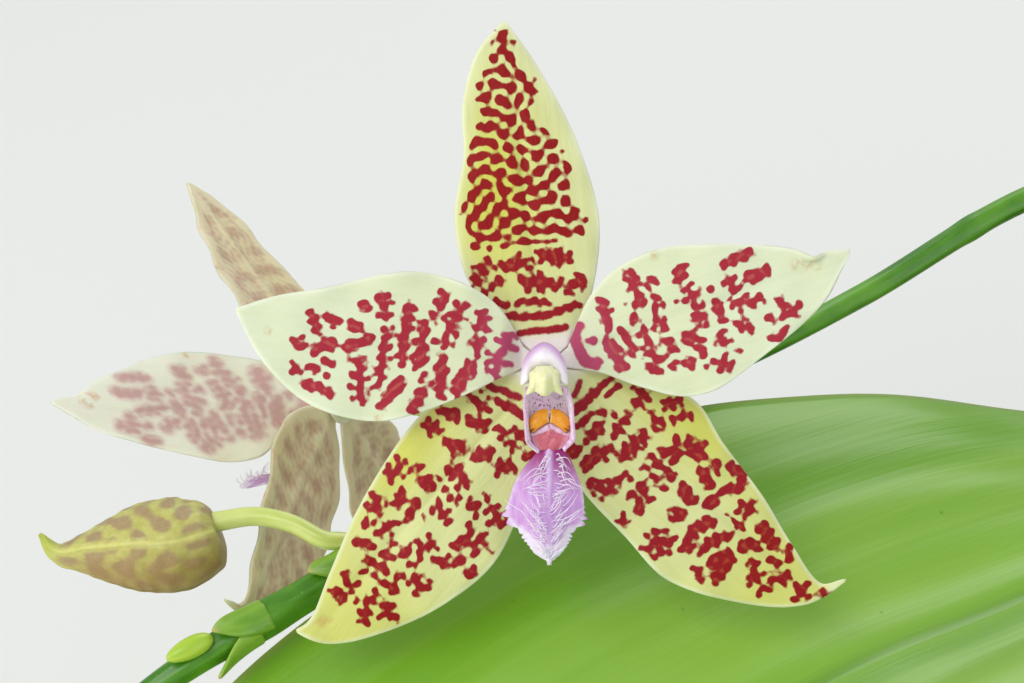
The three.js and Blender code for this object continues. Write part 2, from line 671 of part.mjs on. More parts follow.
// The whole plant
addPiece("pot", makePot(), POT_GREY);
addPiece("bark_medium", makeBark(), BARK_BROWN);
addPiece("stem", makeStem(), GREEN_STEM);
for (const leaf of LEAVES)
  addPiece(leaf.name, sheet(leafSurface(leaf), 14, 4, LEAF_THICKNESS), GREEN_LEAF);
for (const root of HANGING_ROOTS) addPiece(root.name, makeHangingRoot(root), ROOT_GREY);
for (const root of BARK_ROOTS) addPiece(root.name, makeBarkRoot(root), ROOT_GREY);
addPiece("flower_spike", tube(spikeCurve, spikeRadius, 44, 8), GREEN_STEM);
for (const flower of FLOWERS) addFlower(flower);

const [inFront, inBack] = FLOWERS.map(flowerFrame);
const frontStalk = [inFront(7, -3.4, -22), inFront(1.6, -1.2, -12), inFront(-0.2, -0.3, -2.6)];
const backStalk = [inBack(0.5, -2, -19), inBack(0, -0.5, -10), inBack(-0.2, -0.3, -2.6)];
const budStalk = [
  inSight(-27.5, -21.6, 14), inSight(-31.5, -19.6, 15), inSight(-36, -18.7, 16), inSight(-40, -19, 16),
];
const pedicel = taper(1.15, 1.7);
addPiece("flower_front_pedicel", makeStalk(SHARES.flowerFront, frontStalk, pedicel, 8), PALE_GREEN);
addPiece("flower_back_pedicel", makeStalk(SHARES.flowerBack, backStalk, pedicel, 8), PALE_GREEN);
addPiece("bud_pedicel", makeStalk(SHARES.bud, budStalk, taper(1.15, 1.35), 8), PALE_GREEN);
addPiece("bud", makeBud(), BUD_OLIVE);
for (const bract of BRACTS) addPiece(bract.name, makeBract(bract), GREEN_STEM);
for (const bud of YOUNG_BUDS) addPiece(bud.name, makeYoungBud(bud), PALE_GREEN);

export default orchid;
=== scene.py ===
"""The looks of a potted hieroglyphica moth orchid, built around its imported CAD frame.

Shapes repeat the CAD's dimensions in millimetres and turn into metres as each mesh is made.
A flower has its own axes: x to the right, y up and out towards whoever looks into it.
"""
import math

import bpy
import numpy as np
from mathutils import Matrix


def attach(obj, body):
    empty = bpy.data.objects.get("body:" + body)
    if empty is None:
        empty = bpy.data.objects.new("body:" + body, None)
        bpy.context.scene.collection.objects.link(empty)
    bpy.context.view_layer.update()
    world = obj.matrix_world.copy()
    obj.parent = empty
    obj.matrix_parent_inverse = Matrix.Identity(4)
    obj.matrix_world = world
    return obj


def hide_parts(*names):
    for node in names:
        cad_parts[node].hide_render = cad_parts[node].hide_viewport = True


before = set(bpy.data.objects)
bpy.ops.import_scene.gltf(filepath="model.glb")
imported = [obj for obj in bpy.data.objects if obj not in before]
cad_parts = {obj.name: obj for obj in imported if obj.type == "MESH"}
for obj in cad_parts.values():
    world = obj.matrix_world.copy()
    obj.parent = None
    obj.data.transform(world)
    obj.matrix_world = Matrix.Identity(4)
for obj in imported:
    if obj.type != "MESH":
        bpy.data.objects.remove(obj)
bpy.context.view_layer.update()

MM = 0.001
UP = np.array([0.0, 0.0, 1.0])


# Numbers and curves

def mix(a, b, share):
    return a + (b - a) * share


def smooth(x, low, high):
    t = np.clip((x - low) / (high - low), 0, 1)
    return t * t * (3 - 2 * t)


def unit(v):
    return v / np.maximum(np.linalg.norm(v, axis=-1, keepdims=True), 1e-12)


def bump(x, middle, width):
    """A smooth bump, 1 high, around middle."""
    return np.exp(-((x - middle) / width) ** 2)


def circle(sides):
    """Evenly spaced angles round a circle."""
    return np.linspace(0, 2 * math.pi, sides, endpoint=False)


def grid(rows, columns):
    """Shares along a sheet, from 0 to 1, and across it, from -1 to 1."""
    return np.meshgrid(np.linspace(0, 1, rows), np.linspace(-1, 1, columns), indexing="ij")


def both(values):
    """A value for each point of a sheet's grid, given to both of its sides."""
    return np.tile(np.ravel(values), 2)


def sheet_flow(along, across, side, apart=9):
    """Flow over a sheet. The patterns of its two sides lie apart, so that they differ."""
    return np.stack([both(along), both(across), apart * side], -1)


def heading(azimuth):
    return np.array([math.cos(math.radians(azimuth)), math.sin(math.radians(azimuth)), 0.0])


class Curve:
    """A centripetal Catmull-Rom curve through its points, as in the CAD."""

    def __init__(self, points):
        self.points = np.array(points, float)
        shares = np.linspace(0, 1, 201)
        steps = np.linalg.norm(np.diff(self.at(shares), axis=0), axis=1)
        self.shares, self.lengths = shares, np.concatenate([[0], np.cumsum(steps)])
        self.length = self.lengths[-1]

    def at(self, share):
        p = self.points
        last = len(p) - 1
        x = np.clip(np.asarray(share, float), 0, 1) * last
        i = np.minimum(np.floor(x).astype(int), last - 1)
        w = (x - i)[..., None]
        padded = np.vstack([2 * p[0] - p[1], p, 2 * p[-1] - p[-2]])
        a, b, c, d = (padded[i + k] for k in range(4))

        def knot(m, n):
            return np.maximum(np.sum((n - m) ** 2, -1, keepdims=True) ** 0.25, 1e-4)

        d0, d1, d2 = knot(a, b), knot(b, c), knot(c, d)
        t1 = ((b - a) / d0 - (c - a) / (d0 + d1) + (c - b) / d1) * d1
        t2 = ((c - b) / d1 - (d - b) / (d1 + d2) + (d - c) / d2) * d1
        rise = 3 * (c - b) - 2 * t1 - t2
        return b + t1 * w + rise * w**2 + (2 * (b - c) + t1 + t2) * w**3

    def even(self, share):
        """The point at a share of the curve's length."""
        return self.at(np.interp(np.asarray(share) * self.length, self.lengths, self.shares))

    def tangent(self, share):
        low, high = max(0.0, share - 1e-4), min(1.0, share + 1e-4)
        return unit(self.even(high) - self.even(low))


def wobble(x, y, seed, scale, amount):
    """Smooth seeded waviness over a plane, with bumps about scale apart."""
    rng = np.random.default_rng(seed)
    total = np.zeros(np.broadcast(x, y).shape)
    for _ in range(7):
        angle, phase = rng.uniform(0, 2 * math.pi, 2)
        pace = 2 * math.pi / scale * rng.uniform(0.7, 1.5)
        total += np.sin(pace * (x * math.cos(angle) + y * math.sin(angle)) + phase)
    return total * amount / 2.6


def labyrinth(seed, length, bias, steps, along, across, lean=0.0):
    """Winding lines of one width that grow from seeded noise, about 1 on them and -1 between them.

    Length is their spacing, bias breaks them into worms, and lean turns them across the piece.
    """
    count, cell = 320, 0.15  # how many cells are along each side of the pattern, and their size
    field = np.random.default_rng(seed).normal(0, 0.2, (count, count))
    pace = np.fft.fftfreq(count, cell) * length
    square = pace[:, None] ** 2 + pace[None, :] ** 2
    growth = 0.3 - (1 - square) ** 2 - lean * pace[None, :] ** 2 / (square + 0.01)
    for _ in range(steps):
        field = np.fft.ifft2(np.fft.fft2(field + bias * field**2 - field**3) / (1 - growth)).real
    field = (field - field.mean()) / field.std()
    along, across = np.broadcast_arrays(along / cell, across / cell + count / 2)
    i, j = (np.clip(place.astype(int), 0, count - 2) for place in (along, across))
    near, far = (mix(field[i, k], field[i + 1, k], along - i) for k in (j, j + 1))
    return mix(near, far, across - j)


# Shapes

def grid_faces(rows, columns, first=0, flip=False, loop=False):
    """Quads over a grid of points; loop joins its last column to its first."""
    i = np.arange(rows - 1)[:, None] * columns + first
    j = np.arange(columns if loop else columns - 1)[None, :]
    k = (j + 1) % columns
    quads = np.stack([i + j, i + columns + j, i + columns + k, i + k], -1).reshape(-1, 4)
    return quads[:, ::-1] if flip else quads


def sheet(middle, thickness, taper=0.7):
    """A closed sheet around a grid of points, thinner at its edges. Returns points, faces, side."""
    rows, columns = middle.shape[:2]
    along = np.gradient(middle, axis=0)
    across = np.gradient(middle, axis=1)
    normal = unit(np.cross(along, across))
    u = np.linspace(-1, 1, rows)[:, None]
    v = np.linspace(-1, 1, columns)[None, :]
    half = thickness / 2 * (1 - taper * np.maximum(np.abs(v) ** 14, np.abs(u) ** 30))[..., None]
    points = np.concatenate([(middle + normal * half).reshape(-1, 3),
                             (middle - normal * half).reshape(-1, 3)])
    under = rows * columns
    rim = np.concatenate([
        np.arange(columns), np.arange(2 * columns - 1, under, columns),
        np.arange(under - 2, under - columns - 1, -1), np.arange(under - 2 * columns, 0, -columns),
    ])
    following = np.roll(rim, -1)
    edge = np.stack([rim, following, following + under, rim + under], -1)
    faces = np.concatenate([grid_faces(rows, columns), grid_faces(rows, columns, under, True), edge])
    return points, faces, np.repeat([1.0, -1.0], under)


def loft(rings):
    """A closed body through rings of points, with a point at each end."""
    count, sides = rings.shape[:2]
    points = np.concatenate([rings.reshape(-1, 3), rings[:1].mean(1), rings[-1:].mean(1)])
    j = np.arange(sides)
    k = (j + 1) % sides
    start, end = count * sides, count * sides + 1
    last = (count - 1) * sides
    caps = np.concatenate([
        np.stack([np.full(sides, start), k, j], -1),
        np.stack([np.full(sides, end), last + j, last + k], -1),
    ])
    return points, grid_faces(count, sides, loop=True, flip=True).tolist() + caps.tolist()


def tube_rings(middle, radius, sides, facing, flatten=1.0):
    """Rings along a line of points. Angle 0 of each ring is towards facing."""
    tangent = unit(np.gradient(middle, axis=0))
    normal = np.asarray(facing, float)
    frames = []
    for t in tangent:
        normal = unit(normal - t * (normal @ t))
        frames.append(normal)
    normals = np.array(frames)
    binormals = np.cross(tangent, normals)
    turn = circle(sides)
    radius = np.broadcast_to(np.asarray(radius, float).reshape(len(middle), -1), (len(middle), sides))
    out = normals[:, None] * np.cos(turn)[None, :, None]
    out = out + flatten * binormals[:, None] * np.sin(turn)[None, :, None]
    return middle[:, None] + radius[..., None] * out


def in_scene(name, data):
    made = bpy.data.objects.new(name, data)
    bpy.context.scene.collection.objects.link(made)
    return made


class Piece:
    """Gathers the parts of one visible piece, each with its own finish, and makes it one mesh."""

    def __init__(self):
        self.points, self.faces, self.slots, self.finishes = [], [], [], []
        self.values, self.count = {}, 0

    def add(self, points, faces, finish, **values):
        if finish not in self.finishes:
            self.finishes.append(finish)
        offset = self.count
        faces = faces.tolist() if isinstance(faces, np.ndarray) else faces
        self.faces += [[offset + i for i in face] for face in faces]
        self.slots += [self.finishes.index(finish)] * len(faces)
        self.points.append(points)
        for name, value in values.items():
            value = np.asarray(value, float)
            wide = value.ndim > 1
            self.values.setdefault(name, (wide, []))[1].append((offset, value))
        self.count += len(points)

    def add_sheet(self, finish, middle, thickness, along, across, taper=0.7, flip=False, **values):
        """A closed sheet over a grid of points, with its flow and other values given over that grid."""
        points, faces, side = sheet(middle, thickness, taper)
        values = {name: both(value) for name, value in values.items()}
        faces = faces[:, ::-1] if flip else faces
        self.add(points, faces, finish, flow=sheet_flow(along, across, side), **values)

    def make(self, name):
        mesh = bpy.data.meshes.new(name)
        mesh.from_pydata((np.concatenate(self.points) * MM).tolist(), [], self.faces)
        mesh.polygons.foreach_set("use_smooth", [True] * len(self.faces))
        mesh.polygons.foreach_set("material_index", self.slots)
        for finish in self.finishes:
            mesh.materials.append(FINISHES[finish])
        for key, (wide, runs) in self.values.items():
            full = np.zeros((self.count, 3) if wide else self.count)
            for offset, value in runs:
                full[offset:offset + len(value)] = value
            kind = "FLOAT_VECTOR" if wide else "FLOAT"
            mesh.attributes.new(key, kind, "POINT").data.foreach_set(
                "vector" if wide else "value", full.ravel().astype(np.float32))
        mesh.update()
        piece = in_scene(name, mesh)
        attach(piece, "root")
        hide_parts(name)
        return piece


# Materials

def colour(red, green, blue):
    """A display colour from 0 to 255 as the linear colour Blender takes."""
    parts = [c / 255 for c in (red, green, blue)]
    return [c / 12.92 if c <= 0.04045 else ((c + 0.055) / 1.055) ** 2.4 for c in parts] + [1]


class Finish:
    """One procedural material. Its patterns follow the flow attribute, which is in millimetres."""

    def __init__(self, name, **shader):
        self.material = bpy.data.materials.new(name)
        self.material.use_nodes = True
        self.tree = self.material.node_tree
        self.shader = self.tree.nodes["Principled BSDF"]
        for socket, value in shader.items():
            self.plug(self.shader.inputs[socket.replace("_", " ")], value)

    def plug(self, socket, value):
        if isinstance(value, bpy.types.NodeSocket):
            self.tree.links.new(value, socket)
        else:
            socket.default_value = value

    def node(self, kind, plugs, **settings):
        made = self.tree.nodes.new("ShaderNode" + kind)
        for key, value in settings.items():
            setattr(made, key, value)
        for key, value in plugs.items():
            self.plug(made.inputs[key], value)
        return made

    def value(self, name):
        return self.node("Attribute", {}, attribute_name=name).outputs["Fac"]

    def flow(self, stretch=(1, 1, 1)):
        vector = self.node("Attribute", {}, attribute_name="flow").outputs["Vector"]
        return self.node("VectorMath", {0: vector, 1: stretch}, operation="MULTIPLY").outputs[0]

    def noise(self, size, stretch=(1, 1, 1), detail=3.0, roughness=0.55, warp=0.0):
        """Cloudy noise from 0 to 1 with features about size millimetres apart."""
        plugs = {"Vector": self.flow(stretch), "Scale": 1 / size, "Detail": detail}
        plugs.update({"Roughness": roughness, "Distortion": warp})
        return self.node("TexNoise", plugs).outputs["Fac"]

    def cells(self, size):
        """Distance from the middle of the nearest cell, with cells about size millimetres apart."""
        return self.node("TexVoronoi", {"Vector": self.flow(), "Scale": 1 / size}).outputs["Distance"]

    def ramp(self, value, low, high, to_low=0.0, to_high=1.0):
        plugs = {"Value": value, "From Min": low, "From Max": high, "To Min": to_low, "To Max": to_high}
        return self.node("MapRange", plugs, interpolation_type="SMOOTHSTEP").outputs["Result"]

    def calc(self, operation, a, b):
        return self.node("Math", {0: a, 1: b}, operation=operation).outputs[0]

    def blend(self, factor, a, b, mode="MIX"):
        """One colour over another; a colour is a socket or a display colour from 0 to 255."""
        made = self.node("Mix", {}, data_type="RGBA", blend_type=mode)
        for index, value in ((0, factor), (6, a), (7, b)):
            self.plug(made.inputs[index], colour(*value) if isinstance(value, tuple) else value)
        return made.outputs[2]

    def paint(self, base, coats):
        """Coats over a base colour, each a factor and its colour."""
        for factor, coat in coats:
            base = self.blend(factor, base, coat)
        return base

    def between(self, value, low, high, a, b):
        """Colour a where the value is low, turning into b where it is high."""
        return self.blend(self.ramp(value, low, high), a, b)

    def finish(self, base, roughness=None, height=None, depth=0.1):
        self.plug(self.shader.inputs["Base Color"], base)
        if roughness is not None:
            self.plug(self.shader.inputs["Roughness"], roughness)
        if height is not None:
            plugs = {"Height": height, "Distance": depth * MM, "Strength": 1.0}
            self.plug(self.shader.inputs["Normal"], self.node("Bump", plugs).outputs["Normal"])
        return self.material


def tepal_finish(name, grounds, marks, cores, faded):
    """Petal or sepal tissue: a pale ground with painted marks, fine veins and a faded back."""
    pale, warm, reverse = grounds
    red, magenta, deep = marks
    f = Finish(name, Roughness=0.5, Subsurface_Scale=0.002, Specular_IOR_Level=0.14)
    fine = f.noise(0.35, (0.7, 1, 1), 4)
    veins = f.noise(0.9, (0.12, 1, 1), 3)
    back = f.value("back")
    ground = f.blend(f.value("warm"), pale, warm)
    ground = f.paint(ground, [
        (f.ramp(veins, 0.42, 0.7, 0, 0.14), f.blend(0.5, warm, pale, "MULTIPLY")),
        (f.ramp(f.value("rim"), 0.0, 0.7, 0.55, 0), (240, 243, 222)),
        (f.calc("MULTIPLY", f.value("heart"), 0.85), (240, 232, 232)),
        (f.calc("MULTIPLY", back, 0.72), reverse),
    ])
    f.plug(f.shader.inputs["Subsurface Weight"], f.ramp(back, 0, 1, 0.03, 0.4))
    edge = f.calc("ADD", f.value("mark"), f.ramp(fine, 0.2, 0.8, -0.05, 0.05))
    soft = f.calc("MULTIPLY", back, 0.6)
    inked = f.node("MapRange", {
        "Value": edge, "From Min": f.calc("SUBTRACT", -0.14, soft),
        "From Max": f.calc("ADD", 0.14, soft), "To Min": 1.0, "To Max": 0.0,
    }, interpolation_type="SMOOTHSTEP").outputs["Result"]
    ink = f.blend(f.ramp(f.value("shift"), 0, 1), red, magenta)
    ink = f.blend(f.ramp(f.value("shift"), 0, -1), ink, deep)
    ink = f.blend(f.ramp(fine, 0.4, 0.75, 0, 0.12), ink, f.blend(0.5, ink, cores))
    ink = f.paint(ink, [
        (f.ramp(f.value("core"), 0.25, -0.5, 0, 0.5), cores),
        (back, faded),
    ])
    inked = f.calc("MULTIPLY", inked, f.ramp(back, 0, 1, 1.0, 0.66))
    stain = f.calc("MULTIPLY", f.ramp(f.value("stain"), 0.5, -0.3, 0, 0.5), f.ramp(f.noise(0.9), 0.35, 0.65))
    base = f.blend(stain, f.blend(inked, ground, ink), (196, 150, 92))
    height = f.calc("ADD", f.calc("MULTIPLY", veins, 0.7), f.calc("MULTIPLY", fine, 0.3))
    height = f.calc("ADD", height, f.calc("MULTIPLY", inked, 0.35))
    return f.finish(base, f.ramp(fine, 0.2, 0.8, 0.44, 0.58), height, 0.16)


def column_tissue():
    f = Finish("column_tissue", Subsurface_Weight=0.15, Subsurface_Scale=0.0012)
    grain = f.noise(0.5)
    base = f.blend(f.value("shade"), (247, 243, 246), (206, 160, 210))
    base = f.blend(f.ramp(grain, 0.45, 0.75, 0, 0.25), base, (225, 190, 225))
    return f.finish(base, f.ramp(grain, 0.2, 0.8, 0.32, 0.46), grain, 0.06)


def heart_tissue():
    f = Finish("heart_tissue", Subsurface_Weight=0.1, Subsurface_Scale=0.0015)
    grain = f.noise(1.2)
    base = f.between(grain, 0.3, 0.7, (240, 238, 218), (232, 232, 200))
    return f.finish(base, f.ramp(grain, 0.3, 0.7, 0.42, 0.55), grain, 0.08)


def anther_cap_tissue():
    f = Finish("anther_cap_tissue")
    grain = f.noise(0.45)
    base = f.between(grain, 0.3, 0.7, (232, 230, 164), (240, 240, 200))
    return f.finish(base, f.ramp(grain, 0.2, 0.8, 0.42, 0.55), grain, 0.07)


def lip_side_lobe():
    f = Finish("lip_side_lobe", Subsurface_Weight=0.1, Subsurface_Scale=0.001)
    dots = f.ramp(f.cells(0.36), 0.2, 0.34, 1, 0)
    cloud = f.noise(1.6)
    base = f.between(cloud, 0.35, 0.7, (255, 246, 255), (255, 222, 250))
    base = f.paint(base, [
        (f.calc("MULTIPLY", dots, f.ramp(cloud, 0.3, 0.6, 0.5, 0.95)), (132, 36, 112)),
        (f.ramp(f.value("rim"), 0.0, 0.5, 0.8, 0), (226, 190, 232)),
    ])
    return f.finish(base, f.ramp(cloud, 0.3, 0.7, 0.36, 0.48), dots, 0.05)


def lip_callus():
    f = Finish("lip_callus")
    grain = f.noise(0.4)
    base = f.between(grain, 0.3, 0.75, (236, 160, 26), (220, 134, 16))
    base = f.paint(base, [
        (f.ramp(f.value("rim"), 0.0, 0.3, 0.5, 0), (170, 84, 30)),
        (f.value("shade"), (240, 214, 150)),
    ])
    return f.finish(base, f.ramp(grain, 0.2, 0.8, 0.3, 0.45), grain, 0.08)


def lip_shield():
    f = Finish("lip_shield", Subsurface_Weight=0.1, Subsurface_Scale=0.001)
    grain = f.noise(0.8)
    base = f.blend(f.value("shade"), (204, 104, 118), (232, 196, 222))
    base = f.blend(f.ramp(f.cells(0.5), 0.14, 0.3, 0.5, 0), base, (160, 60, 110))
    return f.finish(base, f.ramp(grain, 0.3, 0.7, 0.34, 0.48), grain, 0.05)


def lip_middle_lobe():
    f = Finish("lip_middle_lobe", Subsurface_Weight=0.12, Subsurface_Scale=0.001)
    veins = f.noise(0.55, (0.25, 1, 1), 3)
    base = f.between(veins, 0.35, 0.7, (206, 150, 216), (190, 120, 206))
    base = f.paint(base, [
        (f.calc("MULTIPLY", f.value("shade"), 0.88), (236, 230, 240)),
        (f.value("heart"), (152, 24, 112)),
    ])
    return f.finish(base, f.ramp(veins, 0.3, 0.7, 0.42, 0.55), veins, 0.08)


def lip_hair():
    f = Finish("lip_hair", Roughness=0.4, Subsurface_Weight=0.2, Subsurface_Scale=0.0004)
    grain = f.noise(0.6)
    return f.finish(f.between(grain, 0.3, 0.7, (255, 250, 255), (240, 222, 246)))


def stalk_tissue(name, light, dark, rough=(0.3, 0.45)):
    """Green tissue with fine lengthwise streaks, pale dots and a drier tip."""
    f = Finish(name, Subsurface_Weight=0.06, Subsurface_Scale=0.002, Coat_Weight=0.08,
               Coat_Roughness=0.3)
    lines = f.noise(0.9, (0.08, 1, 1), 3)
    cloud = f.noise(7, (0.6, 1, 1), 3)
    tone = f.blend(f.ramp(cloud, 0.3, 0.7), dark, light)
    tone = f.paint(tone, [
        (f.ramp(lines, 0.4, 0.7, 0, 0.5), light),
        (f.ramp(f.cells(0.9), 0.0, 0.16, 0.2, 0), (236, 240, 190)),
        (f.ramp(f.value("tip"), 0, 1), (196, 186, 110)),
    ])
    return f.finish(tone, f.ramp(cloud, 0.3, 0.7, *rough), lines, 0.08)


def bud_tissue():
    f = Finish("bud_tissue", Subsurface_Weight=0.08, Subsurface_Scale=0.0015)
    cloud = f.noise(1.0, detail=3)
    blotch = f.noise(3.0, (0.8, 1, 1), 3, 0.6, 0.8)
    fine = f.noise(0.35, detail=4)
    base = f.between(cloud, 0.3, 0.75, (198, 196, 112), (182, 178, 88))
    stained = f.calc("ADD", f.value("mark"), f.ramp(blotch, 0.3, 0.7, -0.5, 0.5))
    spots = f.calc("MULTIPLY", f.ramp(stained, -1.0, 0.9, 0, 0.66), f.ramp(f.value("rim"), 0.2, 1.1))
    base = f.paint(base, [
        (spots, f.between(fine, 0.3, 0.7, (146, 104, 96), (162, 124, 108))),
        (f.ramp(f.value("rim"), 0.05, 0.4, 0.7, 0), (222, 220, 132)),
        # Painted shade: darker yellow-brown on the bud's underside.
        (f.value("shade"), (150, 116, 58)),
        (f.value("tip"), (176, 190, 60)),
    ])
    return f.finish(base, f.ramp(cloud, 0.3, 0.7, 0.4, 0.52), fine, 0.07)


def leaf_blade():
    f = Finish("leaf_blade", Subsurface_Weight=0.04, Subsurface_Scale=0.002, Specular_IOR_Level=0.5,
               Coat_Weight=0.12, Coat_Roughness=0.24)
    bands = f.noise(12, (0.02, 1, 1), 2, 0.5)
    lines = f.noise(1.6, (0.02, 1, 1), 3, 0.6)
    cloud = f.noise(40, (0.35, 1, 1), 3)
    base = f.between(bands, 0.25, 0.75, (106, 160, 24), (136, 182, 58))
    base = f.paint(base, [
        (f.ramp(cloud, 0.35, 0.7, 0, 0.5), (112, 170, 28)),
        (f.ramp(lines, 0.4, 0.75, 0, 0.12), (156, 196, 84)),
        (f.ramp(f.value("rib"), 0, 1, 0, 0.5), (76, 128, 14)),
        (f.ramp(f.value("rim"), 0.0, 1.3, 0.75, 0), (164, 188, 84)),
        (f.value("back"), (126, 158, 70)),
        (f.value("shade"), (150, 160, 84)),
        (f.ramp(f.cells(7), 0.0, 0.06, 0.5, 0), (70, 100, 20)),
    ])
    height = f.calc("ADD", f.calc("MULTIPLY", lines, 0.3), f.calc("MULTIPLY", bands, 1.6))
    return f.finish(base, f.ramp(bands, 0.3, 0.7, 0.3, 0.42), height, 0.3)


def root_velamen():
    f = Finish("root_velamen")
    cloud = f.noise(5, (0.4, 1, 1), 4)
    fine = f.noise(0.6, detail=4)
    base = f.between(cloud, 0.35, 0.7, (176, 180, 164), (142, 150, 122))
    base = f.paint(base, [
        (f.ramp(fine, 0.5, 0.75, 0, 0.5), (196, 198, 188)),
        (f.ramp(f.cells(9), 0.0, 0.12, 0.5, 0), (104, 100, 66)),
        (f.value("tip"), (104, 146, 44)),
    ])
    return f.finish(base, f.ramp(f.value("tip"), 0, 1, 0.8, 0.4), fine, 0.14)


def bark_chip():
    f = Finish("bark_chip")
    grain = f.noise(1.2, (0.15, 1, 1), 4, 0.65)
    patch = f.noise(6, detail=4)
    base = f.blend(f.value("tone"), (84, 50, 30), (150, 98, 60))
    base = f.paint(base, [
        (f.ramp(grain, 0.35, 0.7, 0, 0.7), (56, 34, 22)),
        (f.ramp(patch, 0.52, 0.7, 0, 0.55), (168, 128, 88)),
        # Near black: painted shade on the core between the chips, and a random darker tone on some chips.
        (f.value("shade"), (34, 22, 15)),
    ])
    return f.finish(base, f.ramp(patch, 0.3, 0.7, 0.75, 0.92), grain, 0.5)


def pot_plastic():
    f = Finish("pot_plastic")
    dust = f.noise(14, (1, 1, 0.5), 5, 0.6)
    scuff = f.noise(2.2, (1, 1, 0.2), 4)
    low = f.ramp(f.value("level"), 0, 30, 0.5, 0.0)
    dusty = f.calc("ADD", f.ramp(dust, 0.5, 0.8, 0, 0.25), f.calc("MULTIPLY", low, f.ramp(dust, 0.35, 0.65)))
    base = f.blend(dusty, (44, 47, 50), (122, 120, 112))
    rough = f.calc("ADD", f.ramp(scuff, 0.3, 0.7, 0.36, 0.5), f.calc("MULTIPLY", dusty, 0.35))
    return f.finish(base, rough, scuff, 0.05)


FINISHES = {
    "petal": tepal_finish(
        "petal_tissue", grounds=((219, 228, 202), (217, 222, 166), (232, 235, 222)),
        marks=((166, 42, 58), (186, 82, 118), (152, 26, 40)), cores=(196, 106, 88), faded=(176, 108, 116)),
    "sepal": tepal_finish(
        "sepal_tissue", grounds=((220, 224, 174), (204, 205, 88), (230, 222, 192)),
        marks=((150, 24, 36), (164, 52, 74), (144, 18, 22)), cores=(184, 90, 58), faded=(168, 112, 100)),
    "column": column_tissue(),
    "heart": heart_tissue(),
    "anther": anther_cap_tissue(),
    "side_lobe": lip_side_lobe(),
    "callus": lip_callus(),
    "shield": lip_shield(),
    "middle_lobe": lip_middle_lobe(),
    "hair": lip_hair(),
    "pedicel": stalk_tissue("pedicel_tissue", (222, 230, 140), (190, 208, 100)),
    "spike": stalk_tissue("spike_tissue", (98, 160, 28), (58, 120, 12)),
    "bract": stalk_tissue("bract_tissue", (150, 190, 60), (96, 150, 34)),
    "young": stalk_tissue("young_bud_tissue", (190, 216, 74), (158, 196, 48)),
    "stem": stalk_tissue("stem_tissue", (140, 172, 62), (84, 128, 34), rough=(0.4, 0.55)),
    "bud": bud_tissue(),
    "leaf": leaf_blade(),
    "root": root_velamen(),
    "bark": bark_chip(),
    "pot": pot_plastic(),
}


# The line of sight

FIRST_FLOWER = np.array([-145.0, -47.0, 165.0])
ELEVATION = math.radians(30)
SIGHT_DISTANCE = 300.0
RIGHT = np.array([1.0, 0.0, 0.0])
ABOVE = np.array([0.0, math.sin(ELEVATION), math.cos(ELEVATION)])
NEARER = np.array([0.0, -math.cos(ELEVATION), math.sin(ELEVATION)])
EYE = FIRST_FLOWER - 4.3 * RIGHT + 2.9 * ABOVE + SIGHT_DISTANCE * NEARER


def in_sight(across, up, behind):
    """A point across and up in the first flower's plane, then further behind it."""
    in_plane = FIRST_FLOWER + across * RIGHT + up * ABOVE
    return EYE + (in_plane - EYE) * (SIGHT_DISTANCE + behind) / SIGHT_DISTANCE


# Marks on the petals and sepals

